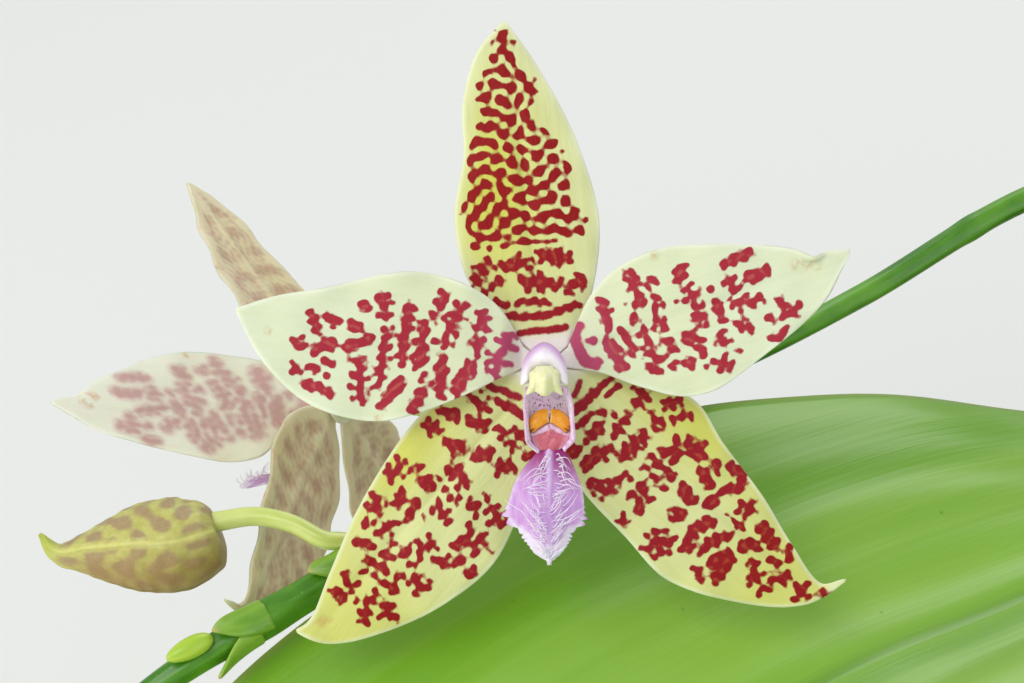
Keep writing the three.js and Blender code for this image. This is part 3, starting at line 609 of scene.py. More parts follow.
# Each mark is (kind, half width, points...) in millimetres along and across the petal or sepal.
# A bar is solid with lobed sides, a fern is a thin spine with side lobes, and a rose is a ring of lobes.
MARKS = {
    "dorsal_sepal": [
        ("line", 0.36, (4.3, 2.9), (4.2, 0), (4.4, -2.8)),
        ("line", 0.42, (6.7, 5.2), (6.3, 2), (6.3, -1), (7, -4.7)),
        ("line", 0.42, (8.5, 5.4), (7.8, 3), (8.2, 1.6), (7.5, -1.1)),
        ("bar", 1.2, (10.7, 1.8), (9.8, -2.2)), ("bar", 1.1, (9.2, -2.9), (10, -5.8)),
        ("fern", 0.9, (11, 7.7), (13.6, 5.8)), ("line", 0.55, (9.9, 6.5), (11, 4.4)),
        ("bar", 1.25, (13, 4.4), (12.3, 0.3)), ("line", 0.5, (10.4, 3.9), (12, 4.6)),
        ("bar", 1.05, (13.7, -0.4), (12.9, -4.2)),
    ],
    "petal_left": [
        ("fern", 1.3, (6.2, 2.2), (5.9, 0), (5.3, -2.7)), ("bar", 0.95, (10.6, 5.3), (9.2, 1.4)),
        ("bar", 1.15, (8.9, 0.8), (8.6, -1.6)), ("bar", 1.1, (8.6, -2.2), (9, -5)),
        ("bar", 0.95, (12.3, 5.9), (12.9, 1.2)), ("fern", 1.2, (12.6, 1.5), (12.8, -1.5), (11.8, -5.3)),
        ("bar", 0.8, (15.4, 8.3), (13.8, 3.2)), ("bar", 0.95, (15.2, 4.2), (15.8, -2.7)),
        ("bar", 0.95, (14.6, -2), (13.9, -6.5)), ("bar", 0.85, (17.6, 2.8), (17.9, -4.5)),
        ("bar", 0.8, (19.2, 8.4), (17.1, 4.7)), ("line", 0.5, (19.6, 7.6), (18, 7)),
        ("fern", 0.9, (19.8, 5.8), (20, 2.5), (19.9, -1)), ("line", 0.4, (21, 2.1), (21.1, 1.9)),
        ("fern", 1.3, (21.8, 8), (22.2, 5.4), (22.8, 3.2)),
        ("line", 0.5, (24.4, 1.9), (23, 1.4), (21.9, 0.5)),
        ("line", 0.55, (24.4, -0.8), (22.4, -0.6), (21, -1)), ("fern", 0.95, (20.3, -2.2), (21.3, -5.1)),
        ("line", 0.5, (23.4, -3.4), (21.6, -3.7)), ("line", 0.5, (25.4, 7.8), (26.8, 7.4), (28.8, 7.1)),
        ("line", 0.5, (26.2, 7.4), (26.3, 5.9)), ("line", 0.45, (25.5, 5.4), (27, 5.3), (28.7, 5.1)),
        ("line", 0.5, (26, 4.2), (27.3, 3.9), (28.4, 4.6)), ("bar", 0.7, (30.5, 6.2), (29.6, 4.3)),
        ("line", 0.62, (25.9, 1.9), (27.4, 2.2), (28.4, 3)), ("fern", 0.7, (29, 2.4), (31, 2.5)),
        ("line", 0.52, (28.2, 0.9), (29.6, -1.3)), ("bar", 0.85, (26, -0.9), (27.6, -1.3)),
        ("line", 0.45, (27.2, 0.3), (26.6, -0.5)),
    ],
    "petal_right": [
        ("line", 0.55, (5.6, 3), (4.5, 2.6), (4.5, 0.6), (5, -1.4), (5.9, -1.9)),
        ("line", 0.45, (5.6, 1.2), (6.4, 0.9)), ("line", 0.45, (5.6, -0.5), (6.6, -0.8)),
        ("line", 0.5, (7, 1.3), (7.4, 0.9)), ("bar", 0.8, (9, 5.2), (8.8, 1.6)),
        ("bar", 0.95, (8, 0.6), (8.7, -3.6)), ("line", 0.5, (9.8, 1.6), (10.4, 0), (10.3, -2.4)),
        ("fern", 0.8, (13.4, 7.2), (13.4, 5), (13.2, 3.2)), ("fern", 0.8, (14.2, 5.5), (15.9, 5.2)),
        ("line", 0.6, (11.8, 3.8), (12.1, 1.7)), ("fern", 0.95, (15.2, 3.2), (14.7, 1), (15.2, -0.9)),
        ("fern", 1.2, (12.6, 0.1), (12.8, -2.5), (12.4, -5.4)), ("fern", 0.8, (14.3, -1.8), (15.4, -3.5)),
        ("fern", 0.8, (12.6, -5.2), (14.8, -5.2)), ("bar", 0.85, (19.6, 5.6), (18.6, 4.2)),
        ("fern", 1, (18.8, 4), (19.6, 2), (19.4, -1.6)), ("line", 0.5, (20.4, 2.4), (21.9, 1.7)),
        ("line", 0.5, (17.6, 2.1), (18.6, 1.9)), ("rose", 1.45, (18, -3.7)),
        ("bar", 0.7, (16, -5.4), (16.8, -6.1)), ("fern", 0.9, (18.3, -5.9), (20.9, -7.7)),
        ("bar", 0.65, (22.1, 0.6), (22, -2.2)), ("fern", 0.9, (21.6, -3), (21, -4.8), (21.9, -6.2)),
        ("fern", 0.8, (23, -2.9), (25, -4.3)), ("line", 0.5, (24.3, 4.2), (26, 4.4), (27.8, 4.4)),
        ("line", 0.48, (26, 4.2), (26.6, 3.3)), ("fern", 0.8, (24.2, 2.3), (25, 0.8)),
        ("line", 0.6, (26, 2), (27.4, 1.6), (29.2, 1.8)), ("line", 0.55, (26.6, 1.8), (26.8, 0.6)),
        ("fern", 0.8, (24, -0.6), (25.4, -1.1), (27.4, -1.2)),
        ("fern", 0.8, (29.3, -2.1), (29.7, -4.3), (31.4, -3.7)), ("bar", 0.6, (27.3, -3.7), (27.9, -4.2)),
        ("line", 0.45, (27, -6.2), (28.4, -6.1), (29.6, -5.3)),
    ],
    "lateral_sepal_left": [
        ("line", 0.4, (5.3, 0.1), (5.8, -2), (6.8, -3.7)), ("line", 0.48, (6.7, 1.8), (7.2, -1), (8, -4)),
        ("line", 0.5, (9.8, 5.9), (10.2, 5.6)), ("bar", 0.62, (8.8, 4.3), (8.7, 2.1)),
        ("bar", 0.85, (10.2, 4.6), (9.9, 0.6)), ("bar", 0.85, (10.2, 0.2), (11.6, -3)),
        ("bar", 0.8, (11.8, -3.2), (12.8, -6.2)), ("bar", 0.6, (9, -1.6), (9.3, -4.9)),
        ("bar", 1.4, (12.4, 5.2), (13.6, 3.4)), ("bar", 1.3, (13, 2.6), (14.2, 0.6)),
        ("bar", 1.4, (14.4, -1.2), (15.5, -3.2)), ("bar", 1.15, (15, -4.2), (15.2, -6.4)),
        ("fern", 1.2, (18.7, 8.6), (17.8, 6.6)), ("bar", 1.5, (17.8, 5.6), (19.6, 4.2)),
        ("fern", 1.2, (17.2, 2), (17.6, -0.8)), ("bar", 0.9, (19.4, 3), (19.6, 0.6)),
        ("rose", 1.3, (19.8, -1.3)), ("fern", 1, (22.4, 3.4), (22.2, 1.2)),
        ("line", 0.6, (22.8, 2), (24.2, 1)), ("line", 0.48, (22, 0.2), (21.7, -2)),
        ("fern", 0.8, (21.3, -2.6), (19.9, -3.7)), ("rose", 1.8, (22.2, 7.2)),
        ("line", 0.55, (22, 9.8), (22, 8.8)), ("bar", 0.9, (25.2, 9.8), (26.1, 9.6)),
        ("rose", 1.8, (26, 6.8)), ("fern", 1.5, (26, 4), (27.8, 3.2)),
        ("bar", 0.85, (27.2, 2.5), (29.4, 1.9)), ("line", 0.48, (25.6, -0.6), (23.4, -1.3)),
        ("fern", 0.9, (25.2, -2.4), (23.5, -3)), ("fern", 1.2, (20.6, -5.4), (23.4, -5.6)),
        ("rose", 1.4, (26.4, -4.2)), ("fern", 1.1, (30.6, 6.8), (31, 5)),
        ("line", 0.55, (30.8, 4.6), (31.6, 3.2)), ("line", 0.52, (29.5, 3.9), (30.2, 2), (31, 0)),
        ("line", 0.6, (31.9, 2.8), (32.8, -0.9)), ("line", 0.5, (28.6, 1), (29.6, -0.5)),
        ("fern", 0.9, (27.2, -1.6), (29.6, -2)), ("fern", 0.9, (29.2, -3), (29.8, -4.2)),
        ("line", 0.55, (31, -1.6), (31.8, -3.3)), ("fern", 1, (36.2, 6.3), (35.6, 4)),
        ("line", 0.5, (33.5, 4), (33.6, 2.4), (34.4, -0.7)),
        ("fern", 0.9, (35.4, 2.7), (37, 2.6), (38.8, 3.8)), ("bar", 0.7, (36, 1.9), (38.4, 2)),
        ("rose", 1.9, (37.3, -0.6)),
    ],
    "lateral_sepal_right": [
        ("line", 0.34, (4.5, 1), (4.9, -0.8)), ("bar", 0.58, (7.1, 3.8), (6.6, 0), (6.4, -2.4)),
        ("line", 0.46, (8.4, 3.8), (8, 1.3)), ("line", 0.5, (8.8, 0), (9, -0.3)),
        ("bar", 0.58, (8.2, -1), (7.7, -3.6)), ("bar", 0.75, (10.2, 0.6), (9.8, -3.9)),
        ("bar", 0.75, (9.8, -5), (9.2, -6.4)), ("fern", 1.3, (11.8, 5.2), (11.2, 3.2)),
        ("bar", 0.72, (11.6, 1.7), (12, -1.5)), ("bar", 1, (12.6, -2.8), (11.4, -6.7)),
        ("fern", 0.85, (15.5, 7.3), (14.5, 5.6)), ("fern", 0.95, (17.3, 6.4), (16.5, 5)),
        ("fern", 1.4, (15.2, 4.8), (15, 2.6)), ("bar", 1.25, (14.8, 1.2), (14.4, -3.1)),
        ("fern", 0.95, (16.2, -4.2), (15.4, -7.3), (13.4, -7.9)), ("rose", 1.9, (19.7, 2.8)),
        ("bar", 0.8, (17, -0.5), (21, -0.6)), ("bar", 0.75, (17.4, -1.9), (21.2, -2.1)),
        ("rose", 1.8, (19.4, -4.8)), ("fern", 0.9, (19.2, -8.1), (20, -9)),
        ("line", 0.6, (22.9, 2.3), (24, 2.2), (25, 1.7)), ("line", 0.55, (23.8, 3.9), (25.2, 2.9)),
        ("line", 0.6, (25.3, 5), (27.2, 5), (28, 4), (26.9, 2), (26.4, -0.5)),
        ("line", 0.6, (22.8, -0.8), (24, -1.4), (25.4, -1)), ("bar", 1.2, (24.5, -2), (24.5, -4.5)),
        ("fern", 1.6, (23.6, -7.3), (26, -8.8)), ("fern", 1.1, (28.7, 2.5), (31.2, 2.2)),
        ("line", 0.6, (27.3, -0.1), (27.9, -0.3)), ("line", 0.6, (29.3, 0.1), (31.5, 0)),
        ("bar", 0.85, (28.3, -1.6), (27.2, -4), (27.9, -6.7)),
        ("bar", 0.75, (31, -1.6), (29.8, -3.5), (29.4, -5.9)),
        ("line", 0.62, (31.8, -6), (31.8, -4), (32.8, -3.6), (33.2, -6.9)),
        ("fern", 0.9, (30.4, -7.4), (31.8, -7.9)), ("line", 0.65, (33.6, 1.8), (36, 1)),
        ("fern", 0.75, (36.6, 1.9), (38.7, 0.9)), ("line", 0.5, (36.8, -0.6), (39, 0)),
        ("line", 0.6, (35.4, -0.5), (33.5, -0.9), (33.2, -2.7)), ("fern", 1.1, (35.4, -2.2), (36.8, -4.4)),
        ("fern", 0.95, (40, -1), (38.6, -2.4), (38.3, -4.6)),
        ("fern", 0.75, (41, -1.4), (42.6, -0.8), (42.4, -2.4)), ("line", 0.45, (42.4, 0.2), (43, -0.6)),
        ("bar", 0.5, (44.2, -0.3), (45.9, 1.1)),
    ],
}
# Where winding marks fill the dorsal sepal above its bars: along, then from and to across.
WORMS_BETWEEN = [
    (15.6, -6.6, 7.6), (17.6, -7.2, 7.8), (19.6, -5.8, 8.4), (21.5, -5.6, 7.8), (23.5, -6, 7.0),
    (25.5, -5.2, 7.0), (27.4, -4.8, 6.6), (29.4, -2.6, 5.6), (31.5, -1.6, 4.4), (33.4, -3.2, 5.2),
    (35.4, -2.8, 4.6), (37.3, -0.6, 2.9), (39.2, -1, 2.6), (41.2, -0.4, 1.9),
]
WORMS_FROM, WORMS_TO = 14.9, 42.0
# Dry spots near the tips and edges: along, across and radius.
STAINS = {
    "petal_left": [(19.2, 9.8, 0.5), (34.3, 1.6, 0.4)],
    "petal_right": [(16.9, 8.2, 0.5), (33, 1.2, 0.8), (34.6, 0.2, 0.9)],
    "lateral_sepal_left": [(41.9, 0.3, 0.7), (42.6, -0.3, 0.4)],
}
MARK_SWELL = 1.27  # how much wider than its written half width a mark is laid
PALE_EDGE = 0.4  # how far marks grow past the rows of WORMS_BETWEEN


class Brush:
    """Lays marks as beads, each (along, across, radius), and keeps a thin gap between marks."""

    GAP = 0.44

    def __init__(self, seed):
        self.rng = np.random.default_rng(seed)
        self.beads, self.fresh = [], []
        self.dry = np.zeros((0, 3))

    def bead(self, a, c, radius):
        radius *= 1 + 0.12 * self.rng.uniform(-1, 1)
        if len(self.dry):
            away = np.hypot(self.dry[:, 0] - a, self.dry[:, 1] - c) - self.dry[:, 2]
            radius = min(radius, away.min() - self.GAP)
        if radius > 0.2:
            self.fresh.append((a, c, radius))

    def lift(self):
        """Ends a mark, so that the next ones keep clear of it."""
        self.beads += self.fresh
        self.fresh = []
        self.dry = np.array(self.beads)

    def steps(self, points, gap):
        """Points at even gaps along a mark, each with its direction and its share of the way."""
        curve = Curve(points)
        count = max(2, round(curve.length / gap) + 1)
        shares = np.linspace(0, 1, count)
        places = curve.even(shares)
        headings = unit(np.gradient(places, axis=0))
        return zip(places, headings, shares)

    def line(self, size, *points):
        drift = 0.0
        for place, way, _ in self.steps(points, 0.42):
            drift = 0.6 * drift + self.rng.normal(0, 0.07)
            self.bead(place[0] - way[1] * drift, place[1] + way[0] * drift, size)

    def lobes(self, points, spacing, reaches, size):
        """Rounded lobes along both sides of a mark."""
        for place, way, share in self.steps(points, spacing):
            for side in (-1, 1):
                if self.rng.random() < 0.1:
                    continue
                shorter = 1 - 0.3 * abs(2 * share - 1) ** 2
                reach = (reaches * self.rng.uniform(0.72, 1.18)) * shorter - size
                shove, lean = self.rng.uniform(-0.3, 0.3) * spacing, self.rng.uniform(-0.35, 0.35)
                for far in np.arange(reach, 0.15, -0.3):
                    along, out = shove + lean * far, side * far
                    swell = 0.9 + 0.1 * far / max(reach, 0.1)
                    self.bead(place[0] + way[0] * along - way[1] * out,
                              place[1] + way[1] * along + way[0] * out, size * swell)

    def bar(self, size, *points):
        for place, _, share in self.steps(points, 0.3):
            self.bead(*place, min(0.72 * size, 0.7) * (1 - 0.35 * abs(2 * share - 1) ** 3))
        self.lobes(points, 0.95, size, 0.4)

    def fern(self, size, *points):
        for place, _, _ in self.steps(points, 0.35):
            self.bead(*place, 0.46)
        self.lobes(points, 1.12, size * 1.12, 0.4)

    def rose(self, size, middle):
        lobes = self.rng.integers(5, 8)
        first = self.rng.uniform(0, 6)
        for k in range(lobes):
            angle = first + 2 * math.pi * k / lobes + self.rng.normal(0, 0.3)
            reach = size * self.rng.uniform(0.6, 1.12)
            for far in np.arange(0.3 * size, reach, 0.3):
                self.bead(middle[0] + far * math.cos(angle), middle[1] + far * math.sin(angle),
                          0.42 + 0.08 * far)


def closeness(dots, a, c, tightness):
    """Signed distance to a smooth union of round dots, in millimetres, negative inside."""
    if not dots:
        return np.full(a.shape, 3.0)
    total = np.zeros(a.shape)
    for da, dc, radius in dots:
        total += np.exp(np.minimum(-tightness * (np.hypot(a - da, c - dc) - radius), 40))
    return np.minimum(-np.log(total + 1e-30) / tightness, 3.0)


def mark_fields(name, seed, along, across, rim):
    """Over a tepal, the distance to its marks before and behind, how dark they are, and its stains."""
    brush = Brush(seed)
    for kind, size, *points in MARKS[name]:
        getattr(brush, kind)(size * MARK_SWELL, *points)
        brush.lift()
    near = smooth(along, 3, 9)
    lobing = near * np.clip(labyrinth(seed + len(name), 1.25, 0.3, 14, along, across), -1.4, 1.4)
    mark = closeness(brush.beads, along, across, 13)
    mark = mark - 0.15 * lobing * (1 - smooth(mark, 0.15, 0.45))
    core = 0.3 + 0.55 * lobing + 0.9 * smooth(mark, -0.3, 0) + 0.6 * (1 - near)
    if name == "dorsal_sepal":
        rows = np.array(WORMS_BETWEEN)
        low, high = (np.interp(along, rows[:, 0], rows[:, k]) for k in (1, 2))
        outside = np.maximum(low - across, across - high)
        outside = np.maximum(outside, np.maximum(WORMS_FROM - along, along - WORMS_TO))
        worms = -0.3 * (labyrinth(seed + 2, 1.72, 0.85, 15, along, across, 0.036) + 0.52) - 0.13 * lobing
        mark = np.minimum(mark, np.maximum(worms + 1.2 * smooth(outside, -0.5, 0.5), outside - PALE_EDGE))
        core = core + smooth(along, 14, 16)
    behind = mark - 0.22
    if "sepal" in name:  # only broad soft bars show through its back
        behind = 0.02 - 0.22 * labyrinth(seed + 3, 3.9, 0.2, 12, along, across, 0.03) - 0.16 * lobing
        behind = behind + 0.7 * smooth(-rim, -2.4, -0.8) + 0.5 * bump(across, 0, 0.6)
    return mark, behind, np.minimum(core, 3), closeness(STAINS.get(name), along, across, 4)


# Flowers

# Outlines are two edges in the flower's plane from its middle to the tip, as in the CAD.
TEPALS = {
    "dorsal_sepal": dict(
        tissue="sepal", axis=[-5, 42], bow=(-1.3, 1.5, -0.7, 0.8),
        left=[
            [-2.7, 2.4], [-7.2, 7], [-10, 11], [-11.4, 18], [-10.3, 26], [-10.4, 32], [-8.7, 38.5],
            [-5.6, 42.2]],
        right=[
            [2.6, 2.4], [5.1, 7.4], [6.3, 13], [6.4, 18.5], [4.3, 26], [1.9, 31.5], [-1.6, 37.5],
            [-5, 42.3]]),
    "petal_left": dict(
        tissue="petal", axis=[-38, 6.5], bow=(0.7, 1.4, 0.3, 0.6),
        left=[
            [-3.3, -0.5], [-6, -1.7], [-10, -3.6], [-17, -6.2], [-22, -6.8], [-29.5, -4.5], [-35, 0.8],
            [-37.9, 6.2]],
        right=[
            [-3, 2.4], [-6, 7.2], [-10, 9.9], [-15.5, 11.4], [-20, 11.1], [-27, 9.5], [-33.5, 8.4],
            [-38, 7]]),
    "petal_right": dict(
        tissue="petal", axis=[37, 13.5], bow=(0.7, 1.4, 0.3, 0.6),
        left=[
            [2.6, 2.2], [5.5, 8.8], [9, 12.2], [14, 14.3], [20, 14.8], [27, 14.6], [32.5, 14],
            [36.9, 14.2]],
        right=[
            [3, -0.4], [6.5, -0.9], [11, -2.5], [16.5, -3.8], [20.5, -3], [27, 1.6], [33.5, 7.4],
            [37, 13.6]]),
    "lateral_sepal_left": dict(
        tissue="sepal", axis=[-29.5, -34], bow=(-1.3, 1, -0.6, 0.4),
        left=[
            [-0.6, -3.2], [-0.5, -8], [-2.6, -16], [-6.5, -24.5], [-12.5, -29.6], [-20, -33.2],
            [-27, -34.7], [-31, -33.4]],
        right=[
            [-3.2, -0.7], [-9.5, -1.9], [-15.5, -6.1], [-20, -12], [-24, -19], [-27, -26], [-29.5, -31.7],
            [-31.2, -33]]),
    "lateral_sepal_right": dict(
        tissue="sepal", axis=[34, -28.5], bow=(-1.3, 1, -0.6, 2),
        left=[
            [3.2, -0.6], [11, -1.2], [18.5, -4.5], [22, -9.8], [27, -16.5], [30.5, -22.3], [34.3, -27.3],
            [37.2, -26.6]],
        right=[
            [0.6, -3.2], [1, -8], [3.9, -14.8], [10, -21.6], [14.8, -26.6], [23, -29.4], [31.5, -30],
            [37.1, -27]]),
}
TEPAL_HINGE = 3.0
TEPAL_THICKNESS = 0.7
CLAW = np.linspace(0.2, 0.95, 12)  # how far a tepal's base runs inwards, as shares of its outline's start

# Each tepal's pose is its turn in the flower's plane, its lean out of it and its twist, in degrees.
# Lift raises the lip's middle lobe, in degrees, and heart is how far the tissue behind the column reaches.
FLOWERS = [
    dict(name="flower_front", origin=FIRST_FLOWER, right=[1, 0, 0], face=[0, 0, 1], lift=0, seed=31,
         grid=(182, 92), lobe_grid=(181, 65), hairs=120, heart=6,
         pose={"dorsal_sepal": (0, 2, 0), "petal_left": (0, 4, 0), "petal_right": (0, 4, 0),
               "lateral_sepal_left": (0, -2, 0), "lateral_sepal_right": (0, -3, 0)}),
    dict(name="flower_back", origin=in_sight(-26.5, -4.5, 48), right=[-0.54, -0.06, 0.84],
         face=[-0.84, -0.045, -0.545], lift=72, seed=57,
         grid=(104, 54), lobe_grid=(91, 41), hairs=44, heart=3,
         pose={"dorsal_sepal": (-5, 40, 0), "petal_left": (4, 37, -28), "petal_right": (-15, 41, 32),
               "lateral_sepal_left": (0, 4, 0), "lateral_sepal_right": (5, -14, 0)}),
]


def flower_frame(flower):
    """The function that places flower points (x, y, out) in the plant, and its three directions."""
    def from_sight(v):
        return unit(v[0] * RIGHT + v[1] * ABOVE + v[2] * NEARER)

    face, right = from_sight(flower["face"]), from_sight(flower["right"])
    up = unit(np.cross(face, right))
    right = np.cross(up, face)

    def place(x, y, out):
        x, y, out = (np.asarray(value, float)[..., None] for value in (x, y, out))
        return flower["origin"] + x * right + y * up + out * face

    return place, (right, up, face)


def outline_distance(x, y, left, right):
    """How far points in a flower's plane are from an outline of two edges."""
    edge = np.concatenate([left.at(np.linspace(0, 1, 160)), right.at(np.linspace(0, 1, 160))])
    best = np.full(x.shape, 99.0)
    for ex, ey in edge:
        best = np.minimum(best, np.hypot(x - ex, y - ey))
    return best


def tepal_tints(name, along, across):
    """How warm the ground is, how far the marks shift to magenta or deep red, and the white heart."""
    if name.startswith("petal"):
        warm = 0.25 + 0.2 * bump(along, 14, 9)
        return warm, 0.85 * (1 - smooth(along, 3, 12)), 1 - smooth(along, 2.5, 6)
    if name == "dorsal_sepal":
        warm = 0.25 + 0.75 * bump(along, 22, 12) * smooth(across, -6, 4)
        return warm, -smooth(along, 8, 20), 1 - smooth(along, 2.5, 5)
    side = -1 if name.endswith("left") else 1
    warm = 0.3 + 0.6 * smooth(side * across, -1, 6) * bump(along, 20, 10)
    warm = warm + 0.45 * smooth(along, 26, 40)
    shift = 0.5 * (1 - smooth(along, 3, 9)) - smooth(along, 26, 36)
    return np.clip(warm, 0, 1), shift, 1 - smooth(along, 2, 5)


def make_tepal(flower, name, place):
    """A petal or sepal: a thin sheet between its two edges, bowed, waved, leaned and marked."""
    tepal = TEPALS[name]
    turn, lean, twist = (math.radians(angle) for angle in flower["pose"][name])
    left, right = Curve(tepal["left"]), Curve(tepal["right"])
    long, wide = flower["grid"]
    down = np.concatenate([np.zeros(len(CLAW)), np.linspace(0, 1, long + 1)])
    u, v = np.meshgrid(down, np.linspace(-1, 1, wide + 1), indexing="ij")
    in_plane = mix(left.at(u), right.at(u), (v[..., None] + 1) / 2)
    in_plane = in_plane * np.concatenate([CLAW, np.ones(long + 1)])[:, None, None]
    x, y = in_plane[..., 0], in_plane[..., 1]
    axis = unit(np.array(tepal["axis"], float))
    along = x * axis[0] + y * axis[1]
    across = y * axis[0] - x * axis[1]
    base, arch, cup, end = tepal["bow"]
    bulge = np.sin(math.pi * u)
    bowed = mix(-0.85 if base < 0 else -0.7, base, smooth(u, 0, 0.13))
    bowed = bowed + arch * bulge + cup * v * v * bulge + end * u**5
    phase = flower["seed"] + len(name)
    edge = np.abs(v) ** 4 * smooth(u, 0.05, 0.3) * smooth(1 - u, 0.0, 0.12)
    bowed = bowed + 0.28 * edge * np.sin(along * 0.75 + phase + 2 * np.sign(v))
    bowed = bowed - 0.35 * bump(across, 0, 0.9) * smooth(u, 0.02, 0.2) * smooth(1 - u, 0.05, 0.4)
    bowed = bowed + wobble(along, across, phase, 7, 0.1) * smooth(u, 0.05, 0.3)
    if name == "petal_right":  # its upper edge folds over near the tip
        curl = np.exp(-((x - 32.2) / 1.3) ** 2 - (1 + v) ** 2 / 0.05)
        bowed = bowed + 1.3 * curl
        y = y - 0.9 * curl
        across = y * axis[0] - x * axis[1]
    held = smooth(along, 2, 12)
    beyond = np.maximum(along - TEPAL_HINGE, 0)
    a = np.minimum(along, TEPAL_HINGE) + beyond * math.cos(lean)
    c = across * np.cos(twist * held)
    out = bowed + beyond * math.sin(lean) + across * np.sin(twist * held)
    turned = (axis[0] * math.cos(turn) - axis[1] * math.sin(turn),
              axis[0] * math.sin(turn) + axis[1] * math.cos(turn))
    middle = place(a * turned[0] - c * turned[1], a * turned[1] + c * turned[0], out)
    points, faces, side = sheet(middle, TEPAL_THICKNESS)

    rim = outline_distance(x, y, left, right)
    mark, behind, core, stain = mark_fields(name, flower["seed"], along, across, rim)
    warm, shift, heart = tepal_tints(name, along, across)
    warm = warm * (0.4 + 0.6 * smooth(rim, 0.4, 2.6)) if name == "dorsal_sepal" else warm
    piece = Piece()
    piece.add(points, faces, tepal["tissue"], mark=np.append(behind, mark), core=both(core),
              stain=both(stain), warm=both(warm), shift=both(shift), heart=both(heart), rim=both(rim),
              back=(side + 1) / 2, flow=sheet_flow(along, across, side, 40))
    piece.make(f"{flower['name']}_{name}")


# The column's middle in the flower's plane, how far out its back and front are, how far its front
# domes, and its hood's half width, top and bottom.
COLUMN = dict(x=-0.4, y=-0.1, back=-1.9, front=6.3, dome=1.5, half_width=2.9, top=2.95, bottom=-2.35)


def add_heart(piece, place, widest, face):
    """A disc of cream tissue behind the column, where the sepals and petals grow together."""
    turn = circle(72)
    reach = widest * np.concatenate([[0.01], np.linspace(0.2, 1, 16)])
    disc = place(np.outer(reach, np.sin(turn)), np.outer(reach, np.cos(turn)) - 0.2,
                 np.broadcast_to(-1.15 - 0.035 * reach[:, None] ** 2, (len(reach), len(turn))))
    points, faces = loft(np.concatenate([disc, disc[::-1] - 0.5 * face]))
    piece.add(points, faces, "heart", flow=points - points[0])


def make_column(flower, place, directions):
    """The column: a hooded rod whose blunt front holds the anther cap."""
    sides = 72
    fall = np.linspace(0, 1, 40)
    wide, back, front = COLUMN["half_width"], COLUMN["back"], COLUMN["front"]
    bell = wide * (1 - (1 - fall) ** 2.6) ** 0.64
    down = mix(COLUMN["top"], COLUMN["bottom"], fall)
    flat = np.linspace(1, -1, 18)[1:-1]
    outline = np.concatenate([
        np.stack([bell, down], -1), np.stack([wide * flat, COLUMN["bottom"] + 0.5 * (1 - flat**2)], -1),
        np.stack([-bell, down], -1)[:0:-1],
    ])
    steps = np.linalg.norm(np.diff(outline, axis=0, append=outline[:1]), axis=1)
    reach = np.concatenate([[0], np.cumsum(steps)])
    even = np.linspace(0, reach[-1], sides, endpoint=False)
    bell = np.stack([np.interp(even, reach, np.append(outline[:, k], outline[0, k])) for k in (0, 1)], -1)
    turn = circle(sides)
    rod = np.stack([np.sin(turn), np.cos(turn)], -1)
    close = np.linspace(0, 0.995, 34)
    out = np.concatenate([np.linspace(back, front, 36)[:-1], front + COLUMN["dome"] * close])
    closing = np.concatenate([np.ones(35), (1 - close**2.6) ** 0.5])
    share = np.clip((out - back) / 8.1, 0, 1)
    radius = np.where(share < 0.25, mix(1.5, 2.2, share / 0.25), 2.2)
    opened = smooth(out, 1.5, 6.0)[:, None, None]
    section = mix(rod * radius[:, None, None], bell, opened) * closing[:, None, None]
    x, y = COLUMN["x"] + section[..., 0], COLUMN["y"] + section[..., 1]
    hollow = 1.5 * np.exp(-(((x + 0.4) / 1.7) ** 4 + ((y + 1.9) / 2.2) ** 4))
    hollow = hollow * smooth(out, 5.5, 6.6)[:, None]
    forward = np.broadcast_to(out[:, None], x.shape) - hollow
    points, faces = loft(place(x, y, forward))
    brim = smooth(np.broadcast_to(closing[:, None], x.shape), 0.5, 0.98) * smooth(y, -2.2, 1.6)
    shade = np.append(np.maximum(brim, 0.35 * smooth(y, 0.8, 2.2)).ravel(), [0, 0])
    high = np.append(y.ravel(), [0, 0])
    ahead = np.append(forward.ravel(), [-2, 7.5])
    piece = Piece()
    piece.add(points, faces, "column", shade=np.clip(shade, 0, 1),
              flow=np.stack([ahead, high, np.append(x.ravel(), [0, 0])], -1))
    add_heart(piece, place, flower["heart"], directions[2])
    piece.make(f"{flower['name']}_column")


def make_anther_cap(flower, place):
    """A cream cap with a domed ridge, a narrow top and two blunt points below."""
    u, v = grid(49, 41)
    half = 0.85 + 1.05 * smooth(u, 0.0, 0.3) - 0.15 * np.sin(math.pi * u) + 0.3 * smooth(u, 0.62, 0.95)
    x = COLUMN["x"] + v * half
    y = -0.1 - 3.25 * u - 0.3 * u**3 * np.cos(2 * math.pi * np.abs(v) / 1.08)
    out = 6.6 + 2.2 * np.sqrt(np.maximum(1 - 0.9 * v**2, 0)) * np.sin(math.pi * (0.14 + 0.72 * u)) ** 0.8
    out = out + 0.35 * bump(v, 0, 0.2) * smooth(u, 0.1, 0.5)
    out = out - 0.4 * bump(np.abs(v), 0.5, 0.17) * smooth(u, 0.1, 0.8)
    piece = Piece()
    piece.add_sheet("anther", place(x, y, out), 0.5, x, y)
    piece.make(f"{flower['name']}_anther_cap")


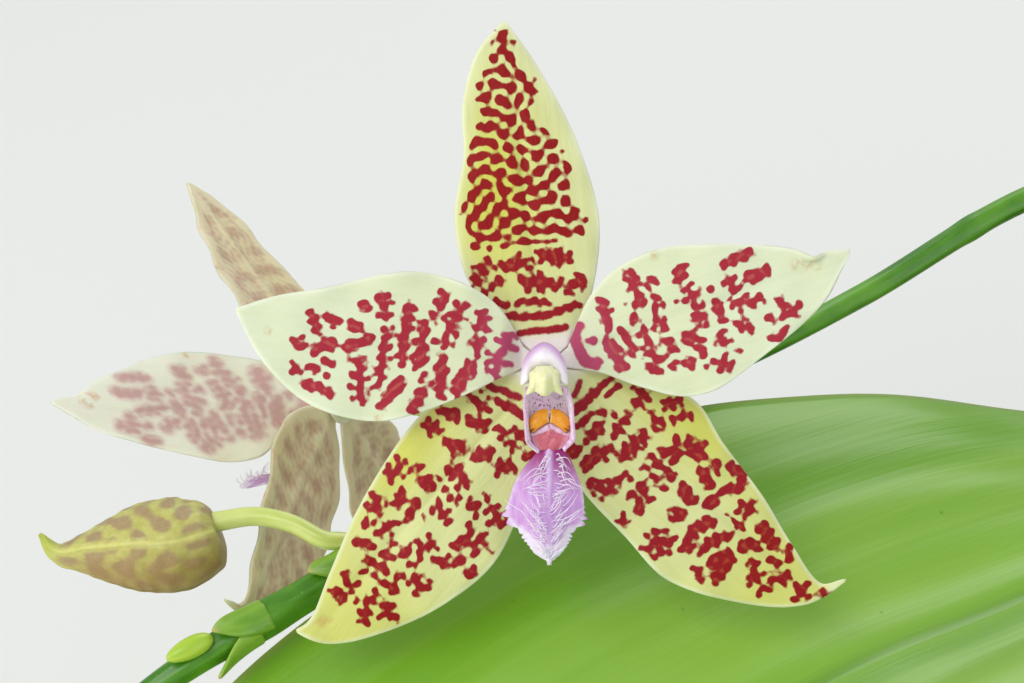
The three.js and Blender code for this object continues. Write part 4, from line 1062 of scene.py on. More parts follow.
MIDDLE_LOBE_EDGES = (
    Curve([[-0.5, -9.7], [-1.5, -10.9], [-2.75, -12.3], [-3.85, -14], [-4.6, -16.1], [-4.9, -17.9],
           [-3.95, -19.4], [-3, -20.3], [-2.4, -21.4], [-1.6, -22.6], [-0.3, -23.4], [0.15, -24.1]]),
    Curve([[1.4, -9.7], [2.6, -11.1], [3.55, -13.1], [4.2, -15], [4.45, -16.9], [4.25, -18.3],
           [3.8, -19.4], [2.75, -20.3], [2.4, -21.4], [1.6, -22.7], [0.65, -23.4], [0.3, -24.1]]),
)
LIP_WAIST = -10.2
KEEL = 0.2  # where the middle lobe's keel runs, across the flower
KEEL_WIDTH = 0.17
HAIR_RADIUS = 0.072


def add_side_lobes(piece, place):
    """The lip's channel and its two side lobes, in one folded sheet."""
    u, v = grid(61, 73)
    section = Curve([[-3.1, 1], [-2.95, 0.62], [-2.6, 0.2], [-1.7, 0.02], [0, 0],
                     [1.7, 0.02], [2.6, 0.2], [2.95, 0.62], [3.1, 1]])
    folded = section.at((v + 1) / 2)
    height = 2.7 + 1.3 * np.sin(math.pi * np.clip(u * 1.05, 0, 1)) ** 0.8
    narrow = 0.93 - 0.4 * smooth(u, 0.78, 1.0) ** 1.3 - 0.12 * smooth(1 - u, 0.7, 1.0)
    x = folded[..., 0] * narrow + mix(-0.05, 0.45, u)
    y = mix(-2.6, -10.5, u) + 0.25 * np.sin(3 * v) * u
    out = 2.3 + 1.2 * u**2 + folded[..., 1] * height * (1 - 0.45 * smooth(u, 0.8, 1.0))
    out = out + 0.1 * wobble(u * 7, v * 4, 5, 1.1, 1)
    piece.add_sheet("side_lobe", place(x, y, out), 0.55, 7 * u, 7 * v, rim=(1 - np.abs(v)) * 7)


def add_callus(piece, place):
    """Two orange wings that slope away from the lip's middle line."""
    u, v = grid(37, 29)
    teeth = 0.22 * np.abs(np.sin(v * 7)) * smooth(u, 0.75, 1)
    teeth = teeth + 0.1 * np.abs(np.sin(u * 16)) * smooth(v, 0.4, 1)
    top = -5.45 - 0.1 * u - 1.7 * u**4 - 0.2 * (1 - smooth(u, 0, 0.2))
    y = mix(-6.75 - 1.3 * u, top, (v + 1) / 2)
    out = 4.6 + 0.3 * (1 - v**2) + 0.35 * u - 0.25 * v
    for hand in (-1, 1):
        x = 0.25 + hand * (0.14 + 2.0 * u + teeth)
        piece.add_sheet("callus", place(x, y, out), 0.9, x, y, 0.5, hand > 0,
                        rim=np.minimum(1 - np.abs(v), (1 - u) * 2), shade=(1 - smooth(u, 0.0, 0.16)) * 0.7)


def add_shield(piece, place):
    """The rosy swelling between the callus and the waist."""
    u, v = grid(37, 33)
    x = 0.35 + v * 2.35 * np.sqrt(np.sin(math.pi * (0.36 + 0.56 * u)))
    y = mix(-6.7 - 1.2 * np.abs(v), LIP_WAIST, u)
    out = 4.1 + 0.55 * np.sin(math.pi * u) ** 0.7 * (1 - 0.6 * v**2) + 0.08 * wobble(x, y, 4, 1.6, 1)
    out = out + 0.25 * bump(u, 0.2, 0.07)
    shade = np.clip(0.6 * smooth(np.abs(v), 0.6, 1) + bump(u, 0.2, 0.09), 0, 1)
    piece.add_sheet("shield", place(x, y, out), 0.8, x, y, 0.5, shade=shade)


def middle_lobe(place, swing):
    """The function that gives the middle lobe's points, keeled and toothed, and their places x and y."""
    left, right = MIDDLE_LOBE_EDGES

    def lobe(u, v):
        in_plane = mix(left.at(u), right.at(u), (np.asarray(v)[..., None] + 1) / 2)
        x, y = in_plane[..., 0], in_plane[..., 1]
        pace = np.where(v < 0, 61, 67)
        teeth = np.abs(np.sin(u * pace + 2 * np.sin(u * 17))) ** 1.5 * smooth(u, 0.37, 0.45)
        teeth = teeth * (0.3 + 0.7 * smooth(-u, -0.75, -0.58)) * smooth(1 - u, 0.02, 0.1)
        reach = teeth * smooth(np.abs(v), 0.84, 1) * (0.5 + 0.25 * np.sin(u * 29))
        x = x + np.sign(v) * reach
        y = y - 0.35 * reach
        keel = 0.26 * bump(x, KEEL, KEEL_WIDTH) * smooth(1 - u, 0.4, 0.85)
        ripple = 0.12 * np.abs(v) ** 3 * np.sin(u * 34) * smooth(u, 0.4, 0.7)
        out = 2.6 * u + 1.2 * np.sin(math.pi * u) * (1 - np.abs(v)) + keel + ripple
        down = y - LIP_WAIST
        return place(x, LIP_WAIST + down * math.cos(swing) + out * math.sin(swing),
                     3.9 + out * math.cos(swing) - down * math.sin(swing)), x, y

    return lobe


def add_middle_lobe(piece, lobe, lobe_grid):
    u, v = grid(*lobe_grid)
    middle, x, y = lobe(u, v)
    margin = outline_distance(x, y, *MIDDLE_LOBE_EDGES)
    shade = 0.85 * smooth(0.3 * wobble(x, y, 8, 1.5, 1) + 1.5 * smooth(u, 0.4, 0.75) - margin, -0.3, 0.9)
    shade = shade + 0.45 * bump(x, KEEL, KEEL_WIDTH) * (1 - smooth(u, 0.2, 0.5)) + 0.15
    shade = shade + 0.45 * smooth(u, 0.35, 0.95) * bump(x, KEEL, 1.6) + 0.35 * (1 - smooth(margin, 0.05, 0.5))
    heart = (1 - smooth(u, 0.06, 0.32)) * smooth(np.abs(x - KEEL), 0.2, 0.7)
    piece.add_sheet("middle_lobe", middle, 0.5, y, x, shade=np.clip(shade, 0, 1), heart=heart)


def add_hairs(piece, lobe, flower, directions):
    """Long white hairs on both sides of the keel. The upper ones droop and the lower ones rise."""
    right, up, face = directions
    left_edge, right_edge = MIDDLE_LOBE_EDGES
    rng = np.random.default_rng(flower["seed"])
    count = flower["hairs"]
    t = np.linspace(0, 1, 11)[:, None]
    for k in range(count):
        share = 0.08 + 0.82 * (k + rng.uniform(0, 1)) / count
        hand = 1 if k % 2 else -1
        root = lobe(np.array(share), np.array(hand * rng.uniform(0.02, 0.3) + 0.06))[0]
        room = (right_edge.at(share) - left_edge.at(share))[0] / 2 - 0.9
        length = min(rng.uniform(1.6, 3.9) * (1 - 0.3 * abs(2 * share - 1)), max(room, 1.7))
        lower = smooth(share, 0.18, 0.42)
        rise = mix(0.95 * t - 1.5 * t**2, 0.05 * t + 0.62 * t**2, lower) * rng.uniform(0.7, 1.25)
        sway = (rng.uniform(0.2, 1.0) * t + rng.uniform(-0.2, 0.35) * t**2) * hand
        ahead = 0.5 * np.sin(t * rng.uniform(2.0, 2.9))
        curl = 0.05 * np.sin(rng.uniform(5, 8) * t + k)
        line = root + length * (right * (sway + curl) + up * (rise + curl) + face * ahead)
        aim = unit(line[-1] - root)
        facing = face if abs(aim @ face) < 0.9 else up
        points, faces = loft(tube_rings(line, HAIR_RADIUS * (1 - 0.6 * t[:, 0]), 6, facing))
        piece.add(points, faces, "hair", flow=points - points[0])


def make_lip(flower, place, directions):
    """The lip: side lobes, a two-winged callus, a shield and the hairy middle lobe."""
    piece = Piece()
    add_side_lobes(piece, place)
    add_callus(piece, place)
    add_shield(piece, place)
    lobe = middle_lobe(place, math.radians(flower["lift"]))
    add_middle_lobe(piece, lobe, flower["lobe_grid"])
    add_hairs(piece, lobe, flower, directions)
    piece.make(f"{flower['name']}_lip")


# Spike, stalks and buds

spike = Curve([
    [-4.2, 10.3, 113], [-9, 19, 136], [-24, 24, 156], [-47, 22, 163],
    in_sight(58.9, 20.4, 60), in_sight(39, 8.6, 52), in_sight(18.9, -1.4, 37), in_sight(0, -7.6, 27),
    in_sight(-13.4, -16.4, 19), in_sight(-26.4, -26.2, 13), in_sight(-36.3, -32.2, 9),
    in_sight(-43.8, -36.7, 7), in_sight(-49.6, -40.8, 6), in_sight(-57.4, -47.4, 6),
    in_sight(-64.5, -54.9, 8),
])
SPIKE = dict(base_radius=2.3, flower_radius=1.5, tip_radius=1.2, swelling=0.85, fleshy_from=0.6)
BARE_NODES = (0.12, 0.24, 0.41)  # shares of the spike where it swells without a bract


def spike_share(across, up, behind):
    """The share of the spike's length that lies nearest to a point in the line of sight."""
    places = spike.even(np.linspace(0, 1, 1001))
    return np.argmin(np.linalg.norm(places - in_sight(across, up, behind), axis=1)) / 1000


def spike_radius(share):
    """The spike thins along its stalk and swells along its fleshy end."""
    share = np.asarray(share, float)
    start = SPIKE["fleshy_from"]
    late = np.clip((share - start) / (1 - start), 0, 1)
    fleshy = mix(SPIKE["flower_radius"], SPIKE["tip_radius"], late)
    fleshy = fleshy + SPIKE["swelling"] * np.sin(math.pi * late)
    return np.where(share < start, mix(SPIKE["base_radius"], SPIKE["flower_radius"], share / start), fleshy)


def spike_side(share, turn):
    """A direction straight out of the spike's side: 0 degrees is level, -90 is upwards."""
    along = spike.tangent(share)
    level = unit(np.cross(along, UP))
    angle = math.radians(turn)
    return level * math.cos(angle) + np.cross(along, level) * math.sin(angle)


SHARES = {
    "flower_front": spike_share(18.9, -1.4, 37), "flower_back": spike_share(-11, -15, 20),
    "bud": spike_share(-23.2, -24.2, 15), "upper": spike_share(-34.5, -31, 9),
    "lower": spike_share(-36, -32.2, 9),
}


def tube_piece(name, finish, middle, radius, sides, facing, tip=None, flatten=1.0):
    """A piece that is one tube, with flow along and round it in millimetres."""
    rings = tube_rings(middle, radius, sides, facing, flatten)
    points, faces = loft(rings)
    travelled = np.concatenate([[0], np.cumsum(np.linalg.norm(np.diff(middle, axis=0), axis=1))])
    turn = circle(sides)
    wide = float(np.mean(radius))
    flow = np.stack(np.broadcast_arrays(
        travelled[:, None], wide * np.cos(turn)[None], wide * np.sin(turn)[None]), -1).reshape(-1, 3)
    flow = np.concatenate([flow, flow[:1], flow[-1:]])
    tips = np.zeros(len(middle)) if tip is None else tip
    tips = np.append(np.repeat(tips, sides), [tips[0], tips[-1]])
    piece = Piece()
    piece.add(points, faces, finish, flow=flow, tip=tips)
    piece.make(name)


def make_spike():
    share = np.linspace(0, 1, 330)
    middle = spike.even(share)
    turn = circle(28)
    radius = spike_radius(share)
    radius = radius * (1 - 0.35 * (1 - smooth(1 - share, 0, 0.006)))
    for node in SHARES.values():
        radius = radius + 0.2 * bump(share, node, 0.014)
    for node in BARE_NODES:
        radius = radius + 0.16 * bump(share, node, 0.007)
    down = share[:, None]
    ridged = 1 + 0.035 * np.cos(5 * turn + 9 * down) + 0.02 * np.cos(9 * turn - 14 * down)
    tip = smooth(share, 0.985, 1) * 0.4
    tube_piece("flower_spike", "spike", middle, radius[:, None] * ridged, len(turn), UP, tip)


def make_stalk(name, share, waypoints, ends):
    """A pedicel from the spike through its waypoints, with its radius at both ends."""
    root, along = spike.even(share), spike.tangent(share)
    away = waypoints[0] - root
    away = unit(away - along * (away @ along))
    radius = float(spike_radius(share))
    curve = Curve([root + away * (radius - 0.6), root + away * (radius + 0.5), *waypoints])
    t = np.linspace(0, 1, 70)
    turn = circle(20)
    girth = mix(*ends, t) + 0.5 * (1 - smooth(t, 0, 0.09))
    ridged = girth[:, None] * (1 + 0.04 * np.cos(6 * turn + 5 * t[:, None]))
    tube_piece(name, "pedicel", curve.even(t), ridged, 20, UP, 0.25 * (1 - smooth(t, 0, 0.3)))


def make_bract(name, share, turn, length):
    """A pointed scale that wraps round the spike at its foot."""
    along, root = spike.tangent(share), spike.even(share)
    out = spike_side(share, turn)
    side = np.cross(along, out)
    radius = float(spike_radius(share)) + 0.5
    u, v = grid(37, 29)
    wrap = v * math.radians(82) * (1 - 0.975 * u**1.5)
    reach = radius - 0.2 + 1.3 * u**2 + 0.2 * bump(v, 0, 0.18) * (1 - u)
    middle = root + along * (length * u)[..., None] + out * (reach * np.cos(wrap))[..., None]
    middle = middle + side * (reach * np.sin(wrap))[..., None]
    piece = Piece()
    piece.add_sheet("bract", middle, 0.45, u * length, v * radius, tip=0.7 * smooth(u, 0.85, 1))
    piece.make(name)


BUD_ROUTE = [in_sight(-40.6, -20.4, 16), in_sight(-44.2, -21.8, 16), in_sight(-50, -22.5, 16.5),
             in_sight(-56, -23, 17), in_sight(-60.4, -23.2, 17.5), in_sight(-62.6, -20.9, 18)]
BUD_GIRTH = [4.6, 6.5, 6.2, 4.2, 1.9, 0.3]
BUD_SEAMS = (12, -62, 150)  # degrees round the bud from the looker's side


def make_bud():
    """A pointed bud of closed sepals: three pale seams, each in a shallow groove, and a hooked tip."""
    t = np.linspace(0, 1, 150)
    middle = Curve(BUD_ROUTE).even(t)
    girth = Curve([[i, r] for i, r in enumerate(BUD_GIRTH)]).at(t)[:, 1]
    girth = girth * smooth(t, -0.05, 0.05) ** 0.5
    sides = 96
    turn = circle(sides)
    seam = np.full((len(t), sides), 99.0)
    for degrees in BUD_SEAMS:
        bent = math.radians(degrees) + 0.25 * (t[:, None] - 0.5)
        gap = np.abs((turn[None] - bent + math.pi) % (2 * math.pi) - math.pi)
        seam = np.minimum(seam, gap * np.maximum(girth[:, None], 0.5))
    strength = smooth(t, 0.02, 0.2)[:, None] * smooth(1 - t, 0.05, 0.3)[:, None]
    relief = 0.28 * bump(seam, 0.55, 0.45) - 0.3 * bump(seam, 0, 0.22)
    relief = relief - 0.25 * bump(seam, 3.4, 1.6)
    radius = girth[:, None] + relief * strength + 0.05 * wobble(t[:, None] * 30, turn[None] * 5, 3, 3, 1)
    points, faces = loft(tube_rings(middle, radius, sides, NEARER, 0.94))

    def closed(values):
        """A value for each point of the rings, then one for each of the two end points."""
        values = np.broadcast_to(values, seam.shape)
        return np.append(values, [np.mean(values[0]), np.mean(values[-1])])

    # Painted shade: the bud's underside is darkened yellow-brown through its shade value.
    under = smooth(-np.cos(turn - math.radians(95)), -0.2, 0.9)[None] * smooth(1 - t, 0.1, 0.4)[:, None]
    blotches = labyrinth(77, 3.5, 0.5, 12, t[:, None] * 27 + 4, seam + 3) + 0.25
    flow = [closed(t[:, None] * 26), closed(np.cos(turn)[None] * 6), closed(np.sin(turn)[None] * 6)]
    piece = Piece()
    piece.add(points, faces, "bud", rim=closed(seam), mark=closed(blotches), shade=closed(under * 0.75),
              tip=closed(smooth(t, 0.8, 0.97)[:, None] * 0.85), flow=np.stack(flow, -1))
    piece.make("bud")


def make_young_bud(name, share, turn, length, radius):
    """A small green bud, grooved where its sepals meet."""
    out = spike_side(share, turn)
    lean = unit(spike.tangent(share) + 0.2 * out)
    centre = spike.even(share) + out * (float(spike_radius(share)) + radius - 0.4)
    t = np.linspace(-0.98, 0.98, 44)
    across = circle(36)
    girth = radius * np.sqrt(1 - t**2) * (1 - 0.12 * t)
    groove = 0.08 * bump(np.cos(1.5 * across), 0, 0.25) * smooth(t[:, None], -0.5, 0.8)
    middle = centre + lean * (length / 2 * t)[:, None]
    tube_piece(name, "young", middle, girth[:, None] * (1 - groove), len(across), out,
               0.3 * smooth(t, 0.7, 1))


# Leaves and stem

RANK_AZIMUTH = 209
STEM = dict(radius=8.5, flatten=0.8, bottom=97, height=40, rings=5)
# Side and azimuth turn a leaf from the rank's, rise and fall are its slopes at both ends, bend is where
# between them it bends, channel is its fold and roll its lean. Lengths in millimetres, angles in degrees.
LEAF_VALUES = "side azimuth base length width widest rise fall bend channel roll".split()
LEAVES = {name: dict(zip(LEAF_VALUES, values)) for name, values in {
    "leaf_left_broad": (0, 0, 113.4, 272, 93, 0.44, 18, -58, 1.3, 19.5, -15.5),
    "leaf_right_broad": (180, 6, 118, 250, 88, 0.55, 24, -46, 1, 13, 5),
    "leaf_left_low": (0, 14, 105.5, 195, 70, 0.55, 24, -66, 1, 10, 4),
    "leaf_right_low": (180, -14, 108, 205, 74, 0.56, 22, -52, 0.9, 10, -6),
    "leaf_right_upper": (180, -8, 127, 185, 72, 0.58, 50, -16, 0.9, 15, -4),
    "leaf_young": (180, 62, 134, 92, 32, 0.5, 74, 50, 1, 24, 0),
}.items()}
LEAF_BASE_WIDTH = 15
LEAF_THICKNESS = 1.6
LEAF_END = 0.985  # share of a leaf's length at which its blade closes
SEEN_LEAF = "leaf_left_broad"
SEEN_GRID, OTHER_GRID = (141, 53), (89, 45)  # rows and columns of the leaf in view and of the others


def make_leaf(name, leaf, seed):
    """A broad blade along a bending rib, folded at the rib and closed at the stem."""
    steps = 60
    out = heading(RANK_AZIMUTH + leaf["side"] + leaf["azimuth"])
    slopes = np.radians(mix(leaf["rise"], leaf["fall"], (np.arange(1, steps + 1) / steps) ** leaf["bend"]))
    hop = leaf["length"] / steps
    moves = out * (hop * np.cos(slopes))[:, None] + UP * (hop * np.sin(slopes))[:, None]
    start = out * (STEM["radius"] + 1.7) + UP * leaf["base"]
    rib = np.concatenate([[start], start + np.cumsum(moves, axis=0)])
    slopes = np.concatenate([[math.radians(leaf["rise"])], slopes])

    u, v = grid(*(SEEN_GRID if name == SEEN_LEAF else OTHER_GRID))
    s = u * LEAF_END
    at = s * steps
    stations = np.arange(steps + 1)
    point = np.stack([np.interp(at, stations, rib[:, k]) for k in range(3)], -1)
    slope = np.interp(at, stations, slopes)[..., None]
    upward = -out * np.sin(slope) + UP * np.cos(slope)
    roll = (math.radians(leaf["roll"]) * s)[..., None]
    side = np.array([-out[1], out[0], 0]) * np.cos(roll) + upward * np.sin(roll)
    ending = np.maximum(0, (s - leaf["widest"]) / (1 - leaf["widest"]))
    half = mix(LEAF_BASE_WIDTH, leaf["width"], smooth(s, 0, leaf["widest"]) ** 0.8) / 2
    half = half * np.maximum(1 - ending**2.3, 0) ** 0.72
    fold = np.radians(mix(52, leaf["channel"], smooth(s, 0, 0.22)))
    crease = np.sqrt(v * v + 0.01) - 0.1
    lift = half * (crease * np.sin(fold) - 0.1 * v * v)
    grown = smooth(s, 0.04, 0.3) * smooth(1 - s, 0.0, 0.12)
    across = v * half
    pleats = 0.3 * np.cos(v * 15) * (1 - np.abs(v)) + 0.22 * np.cos(v * 31 + 2) * (1 - v * v)
    lift = lift + grown * pleats
    lift = lift - 0.9 * bump(across, 0, 1.6) * grown
    lift = lift + 0.5 * np.abs(v) ** 3 * grown * np.sin(s * leaf["length"] / 11 + seed + 2 * np.sign(v))
    lift = lift + wobble(s * leaf["length"], across, seed, 45, 0.5) * grown
    middle = point + side * (across * np.cos(fold))[..., None] + upward * lift[..., None]
    middle = middle - out * (2.2 * (1 - smooth(s, 0, 0.03)))[..., None]
    points, faces, hand = sheet(middle, LEAF_THICKNESS, 0.65)
    rim = np.minimum(half * (1 - np.abs(v)), (1 - s) * leaf["length"] * 0.5)
    below = (1 - hand) / 2 if facing_up(points, faces) else (1 + hand) / 2
    piece = Piece()
    piece.add(points, faces, "leaf", rim=both(rim), rib=both(bump(across, 0, 1.3)), back=0.75 * below,
              shade=both(0.8 * (1 - smooth(s, 0.0, 0.1))),
              flow=sheet_flow(s * leaf["length"], across, 60 * hand + 7 * seed, 1))
    piece.make(name)


def facing_up(points, faces):
    """Whether the first face of a sheet looks upwards."""
    a, b, c, _ = points[faces[len(faces) // 4]]
    return np.cross(b - a, c - b)[2] > 0


def make_stem():
    """A short upright stem, ringed by the scars of fallen leaves."""
    t = np.linspace(0, 1, 90)
    turn = circle(64)
    rings = STEM["rings"]
    radius = STEM["radius"] * (1 - 0.35 * t) + 0.5 * np.cos(2 * math.pi * rings * t)
    radius = radius + 0.45 * (((t * rings + 0.1) % 1) ** 6)
    radius = radius * np.sqrt(np.clip((1 - t) / 0.05, 0.05, 1))
    ridged = radius[:, None] * (1 + 0.015 * np.cos(22 * turn) + 0.012 * np.cos(37 * turn + 5 * t[:, None]))
    middle = np.stack([0 * t, 0 * t, STEM["bottom"] + STEM["height"] * t], -1)
    tube_piece("stem", "stem", middle, ridged, len(turn), heading(RANK_AZIMUTH), None,
               STEM["flatten"])


# Roots, bark and pot

POT = dict(height=110, top_radius=63, base_radius=47, wall=1.6, floor=2, foot_height=3, foot_width=4,
           pad_radius=10, rim_height=9, rim_width=3, drain_radius=4, drain_ring=28, drain_count=6)
BARK_TOP = 96
BARK_GAP = 0.4
CHIP_COUNT, CHIP_LENGTH = 230, 15
CHIPS_START = 12  # how far from the pot's middle the chips begin
CHIPS_LEVEL = 94.6
GOLDEN_ANGLE = 137.5
ROOT_RADIUS = 2.4
# Each root's azimuth and height at the stem, the height or reach of its end, and its swing in degrees.
HANGING_ROOTS = {"root_over_rim_back": (90, 109, 52, 14), "root_over_rim_front": (285, 108, 34, -12),
                 "root_over_rim_right": (308, 110, 62, 9)}
BARK_ROOTS = {"root_into_bark_left": (165, 104, 38, 16), "root_into_bark_back": (58, 105, 43, -12),
              "root_into_bark_front": (258, 104, 40, -18), "root_into_bark_right": (332, 103, 34, -14)}


def at_polar(azimuth, reach, z):
    return heading(azimuth) * reach + UP * z


def make_root(name, points, seed, hanging):
    """An aerial root along its points. A hanging one ends in a rounded green tip."""
    t = np.linspace(0, 1, 150 if hanging else 70)
    turn = circle(24)
    radius = ROOT_RADIUS * (mix(1, 0.92, t) if hanging else mix(1, 0.8, t))
    radius = radius + 0.14 * np.sin(t * 31 + seed) * np.sin(t * 12)
    if hanging:
        radius = radius * np.sqrt(np.clip((1 - t) / 0.035, 0.02, 1))
    rough = radius[:, None] * (1 + 0.03 * wobble(t[:, None] * 60, turn[None] * 3, seed, 4, 1))
    tip = smooth(t, 0.88, 0.97) if hanging else None
    tube_piece(name, "root", Curve(points).even(t), rough, len(turn), UP + 0.1 * heading(37), tip)


def make_roots():
    start_out = STEM["radius"] + ROOT_RADIUS
    over = POT["height"] + ROOT_RADIUS + 1.2
    outside = POT["top_radius"] + POT["rim_width"] + ROOT_RADIUS + 2
    for seed, (name, (azimuth, start, hang, swing)) in enumerate(HANGING_ROOTS.items()):
        make_root(name, [
            at_polar(azimuth, start_out - 3, start - 0.5), at_polar(azimuth, 26, start + 4),
            at_polar(azimuth + swing / 2, 48, over + 2), at_polar(azimuth + swing, outside - 5, over + 1),
            at_polar(azimuth + swing, outside + 0.6, POT["height"] - 4),
            at_polar(azimuth + swing * 1.4, outside - 1, mix(POT["height"], hang, 0.5)),
            at_polar(azimuth + swing * 2, outside + 2, hang),
        ], seed, True)
    for seed, (name, (azimuth, start, reach, swing)) in enumerate(BARK_ROOTS.items()):
        make_root(name, [
            at_polar(azimuth, start_out - 3, start - 0.3),
            at_polar(azimuth, mix(STEM["radius"], reach, 0.5), start + 1.5),
            at_polar(azimuth + swing / 2, reach * 0.85, start - 0.5),
            at_polar(azimuth + swing, reach, BARK_TOP + 4.8),
            at_polar(azimuth + swing * 1.2, reach + 4, BARK_TOP - 2),
        ], seed + 9, False)


def pot_outside(z):
    return POT["base_radius"] + (POT["top_radius"] - POT["base_radius"]) / POT["height"] * z


def pot_inside(z):
    return pot_outside(z) - POT["wall"]


def tumbled(points, spin, tip_x, tip_y):
    """Points tipped about the x and y axes, then spun about the z axis."""
    cx, sx, cy, sy, cz, sz = (f(a) for a in (tip_x, tip_y, spin) for f in (math.cos, math.sin))
    about_x = np.array([[1, 0, 0], [0, cx, -sx], [0, sx, cx]])
    about_y = np.array([[cy, 0, sy], [0, 1, 0], [-sy, 0, cy]])
    about_z = np.array([[cz, -sz, 0], [sz, cz, 0], [0, 0, 1]])
    return points @ (about_z @ about_y @ about_x).T


def chip_form(rng, number, length):
    """The rings of one chip about its own middle: square-edged, rough, skewed and slightly bent."""
    width, thick = length * rng.uniform(0.42, 0.7), rng.uniform(2.2, 4.6)
    along, turn = np.meshgrid(np.linspace(0, 1, 9), circle(12), indexing="ij")
    x = (along - 0.5) * length
    end = np.clip(1 - np.abs(2 * along - 1) ** 6, 0.03, 1)
    square = (np.abs(np.cos(turn)) ** 5 + np.abs(np.sin(turn)) ** 5) ** -0.2
    y = square * np.cos(turn) * width / 2 * end
    z = square * np.sin(turn) * thick / 2 * end
    rough = 1 + 0.16 * wobble(along * 8, np.cos(turn) * 3, 100 + number, 3.5, 1)
    ragged = x + rng.uniform(-0.3, 0.3) * y + 0.7 * wobble(y, z, 300 + number, 5, 1)
    return np.stack([ragged, y * rough, z * rough + 0.02 * x * x * rng.uniform(-0.6, 0.6)], -1)


def add_bark_core(piece):
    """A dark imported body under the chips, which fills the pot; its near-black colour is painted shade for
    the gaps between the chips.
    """
    bottom = POT["foot_height"] + POT["floor"] + BARK_GAP
    rows = [[pot_inside(z) - BARK_GAP, z] for z in (bottom, 30, 60, 90, 94.2)]
    rows += [[(pot_inside(94) - BARK_GAP) * share, CHIPS_LEVEL] for share in np.linspace(0.96, 0.05, 16)]
    rings = np.array([[heading(math.degrees(a)) * r + UP * z for a in circle(72)] for r, z in rows])
    lumps = wobble(rings[..., 0], rings[..., 1], 8, 9, 0.9)
    rings[..., 2] += lumps * (rings[..., 2] > 94.4)
    points, faces = loft(rings)
    every = np.ones(len(points))
    # The core's shade value paints shade into it, seen in the gaps between the chips.
    piece.add(points, faces, "bark", flow=points, tone=0 * every, shade=0.85 * every)


def make_bark():
    """Coarse chips, each its own closed piece of rough bark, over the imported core."""
    piece = Piece()
    add_bark_core(piece)
    rng = np.random.default_rng(2311)
    for i in range(CHIP_COUNT):
        length = CHIP_LENGTH * rng.uniform(0.55, 1.15)
        chip = chip_form(rng, i, length)
        spin, tip_x, tip_y = rng.uniform(0, 2 * math.pi), rng.normal(0, 0.22), rng.normal(0, 0.22)
        room = pot_inside(BARK_TOP) - BARK_GAP - (CHIPS_START + 2) - 0.42 * length
        reach = CHIPS_START + room * math.sqrt((i + 0.5) / CHIP_COUNT)
        place = heading(GOLDEN_ANGLE * i) * reach + UP * (CHIPS_LEVEL + rng.uniform(-1.2, 2.6))
        points, faces = loft(tumbled(chip, spin, tip_x, tip_y) + place)
        flow = np.concatenate([chip.reshape(-1, 3), chip[:1].mean(1), chip[-1:].mean(1)]) + 23.0 * i
        every = np.ones(len(points))
        piece.add(points, faces, "bark", flow=flow, tone=rng.uniform(0, 1) * every,
                  shade=0.25 * rng.random() ** 2 * every)
    piece.make("bark_medium")


def rounded(corners):
    """A profile through corners (radius, height, rounding), each rounded by a curve of five points."""
    profile = []
    for i, (r, z, rounding) in enumerate(corners):
        here = np.array([r, z], float)
        if rounding == 0:
            profile.append(here)
            continue
        before, after = (np.array(corners[i + k][:2], float) for k in (-1, 1))
        a, b = here + unit(before - here) * rounding, here + unit(after - here) * rounding
        for t in np.linspace(0, 1, 5):
            profile.append((1 - t) ** 2 * a + 2 * t * (1 - t) * here + t**2 * b)
    return np.array(profile)


def round_rings(profile, sides):
    turn = circle(sides)
    return np.stack([profile[:, :1] * np.cos(turn), profile[:, :1] * np.sin(turn),
                     np.repeat(profile[:, 1:], sides, 1)], -1)


def drill_drains(pot, sides):
    """Cuts the drain holes through the pot's floor."""
    drill = Piece()
    for i in range(POT["drain_count"]):
        centre = heading(360 * i / POT["drain_count"]) * POT["drain_ring"]
        rod = round_rings(np.array([[POT["drain_radius"], z] for z in (-2.0, 8.0)]), sides)
        drill.add(*loft(rod + centre), "pot")
    mesh = bpy.data.meshes.new("drill")
    mesh.from_pydata((np.concatenate(drill.points) * MM).tolist(), [], drill.faces)
    cutter = in_scene("drill", mesh)
    cut = pot.modifiers.new("drains", "BOOLEAN")
    cut.operation, cut.solver, cut.object = "DIFFERENCE", "EXACT", cutter
    drilled = bpy.data.meshes.new_from_object(pot.evaluated_get(bpy.context.evaluated_depsgraph_get()))
    pot.modifiers.clear()
    pot.data = drilled
    bpy.data.objects.remove(cutter)


def make_pot():
    """A turned pot with a rolled rim, rounded corners, a foot ring and drain holes."""
    high, low, foot = POT["height"], POT["height"] - POT["rim_height"], POT["foot_height"]
    pad, base, rim = POT["pad_radius"], POT["base_radius"], POT["top_radius"] + POT["rim_width"]
    step, floor = base - POT["foot_width"], foot + POT["floor"]
    profile = rounded([
        (0.0, 0, 0), (pad, 0, 0.4), (pad, foot, 0.4), (step, foot, 0.5), (step, 0, 0.5), (base, 0, 0.9),
        (pot_outside(70), 70, 0), (pot_outside(low), low, 0.5), (rim, low, 1.0), (rim, high, 0.9),
        (pot_inside(high), high, 0.6), (pot_inside(floor), floor, 1.5), (0.0, floor, 0),
    ])
    sides = 120
    points, faces = loft(round_rings(profile[1:-1], sides))
    piece = Piece()
    piece.add(points, faces, "pot", flow=points, level=points[:, 2])
    drill_drains(piece.make("pot"), sides // 4)


# Build

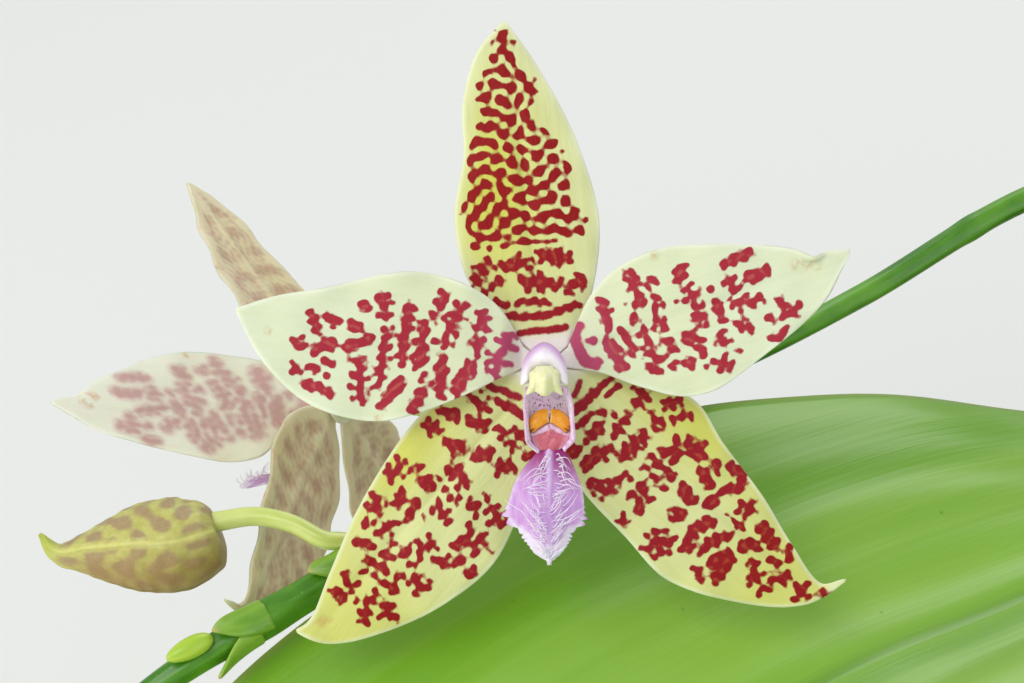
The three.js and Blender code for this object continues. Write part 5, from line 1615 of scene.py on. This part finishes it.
make_pot()
make_bark()
make_stem()
for number, (leaf_name, leaf_shape) in enumerate(LEAVES.items()):
    make_leaf(leaf_name, leaf_shape, number)
make_roots()
make_spike()
places = {}
for flower in FLOWERS:
    place, directions = flower_frame(flower)
    places[flower["name"]] = place
    for tepal_name in TEPALS:
        make_tepal(flower, tepal_name, place)
    make_column(flower, place, directions)
    make_anther_cap(flower, place)
    make_lip(flower, place, directions)
for flower_name, ways in {
    "flower_front": [(7, -3.4, -22), (1.6, -1.2, -12), (-0.2, -0.3, -1.8)],
    "flower_back": [(0.5, -2, -19), (0, -0.5, -10), (-0.2, -0.3, -1.8)],
}.items():
    make_stalk(f"{flower_name}_pedicel", SHARES[flower_name],
               [places[flower_name](*way) for way in ways], (1.15, 1.7))
make_stalk("bud_pedicel", SHARES["bud"],
           [in_sight(-27.5, -21.6, 14), in_sight(-31.5, -19.6, 15), in_sight(-36, -18.7, 16),
            in_sight(-41.2, -19.4, 16)], (1.15, 1.35))
make_bud()
for flower_name in places:
    make_bract(f"bract_{flower_name}", SHARES[flower_name] + 0.008, 30, 6)
make_bract("bract_bud", SHARES["bud"] + 0.005, -95, 5.5)
make_bract("bract_upper", SHARES["upper"], -105, 7.5)
make_bract("bract_lower", SHARES["lower"], 150, 7.5)
make_young_bud("young_bud_upper", spike_share(-43.2, -36.6, 7), -105, 6.5, 1.4)
make_young_bud("young_bud_lower", spike_share(-51, -42, 6), 95, 5.5, 1.2)
make_young_bud("young_bud_tip", spike_share(-60, -50, 7), -80, 4.5, 1)


# Floor, lights and camera

CAMERA_LENS, SENSOR_WIDTH = 85.43, 36
LIT_POINT = np.array([-0.14, -0.03, 0.14])
# Soft square lamps: name, place and size in metres, power in watts, tint
LAMPS = [
    ("key", (-0.75, -0.85, 1.25), 0.8, 8.5, (1.0, 0.98, 0.94)),
    ("fill", (0.9, -0.9, 0.7), 0.9, 3, (0.94, 0.97, 1.0)),
    ("low", (-0.95, -0.45, 0.3), 0.6, 2.5, (1.0, 1.0, 0.97)),
    ("back", (0.15, 0.95, 1.1), 0.8, 5, (1.0, 1.0, 1.0)),
]


def make_floor():
    mesh = bpy.data.meshes.new("floor")
    mesh.from_pydata([(-3, -3, 0), (3, -3, 0), (3, 3, 0), (-3, 3, 0)], [], [(0, 1, 2, 3)])
    mesh.materials.append(Finish("floor_paper", Roughness=0.85).finish(colour(238, 238, 234)))
    floor = in_scene("floor", mesh)


def make_lights():
    world = bpy.data.worlds.new("studio")
    world.use_nodes = True
    sky = world.node_tree.nodes["Background"].inputs
    sky["Color"].default_value = (0.92, 0.96, 1.0, 1)
    sky["Strength"].default_value = 0.55
    bpy.context.scene.world = world
    for name, place, size, power, tint in LAMPS:
        light = bpy.data.lights.new(name, "AREA")
        light.size, light.energy, light.color = size, power, tint
        lamp = in_scene(name, light)
        lamp.location = place
        aim = unit(LIT_POINT - np.array(place))
        lamp.rotation_euler = (math.acos(-aim[2]), 0, math.atan2(aim[0], -aim[1]) + math.pi)


def make_camera():
    """A camera at the photograph's angle, which looks down on the flower along the line of sight."""
    camera = bpy.data.cameras.new("camera")
    camera.lens, camera.sensor_width = CAMERA_LENS, SENSOR_WIDTH
    camera.clip_start, camera.clip_end = 0.01, 20
    viewer = in_scene("camera", camera)
    viewer.location = [c * MM for c in EYE]
    viewer.rotation_euler = (math.pi / 2 - ELEVATION, 0, 0)
    bpy.context.scene.camera = viewer
    bpy.context.scene.view_settings.view_transform = "Standard"


make_floor()
make_lights()
make_camera()
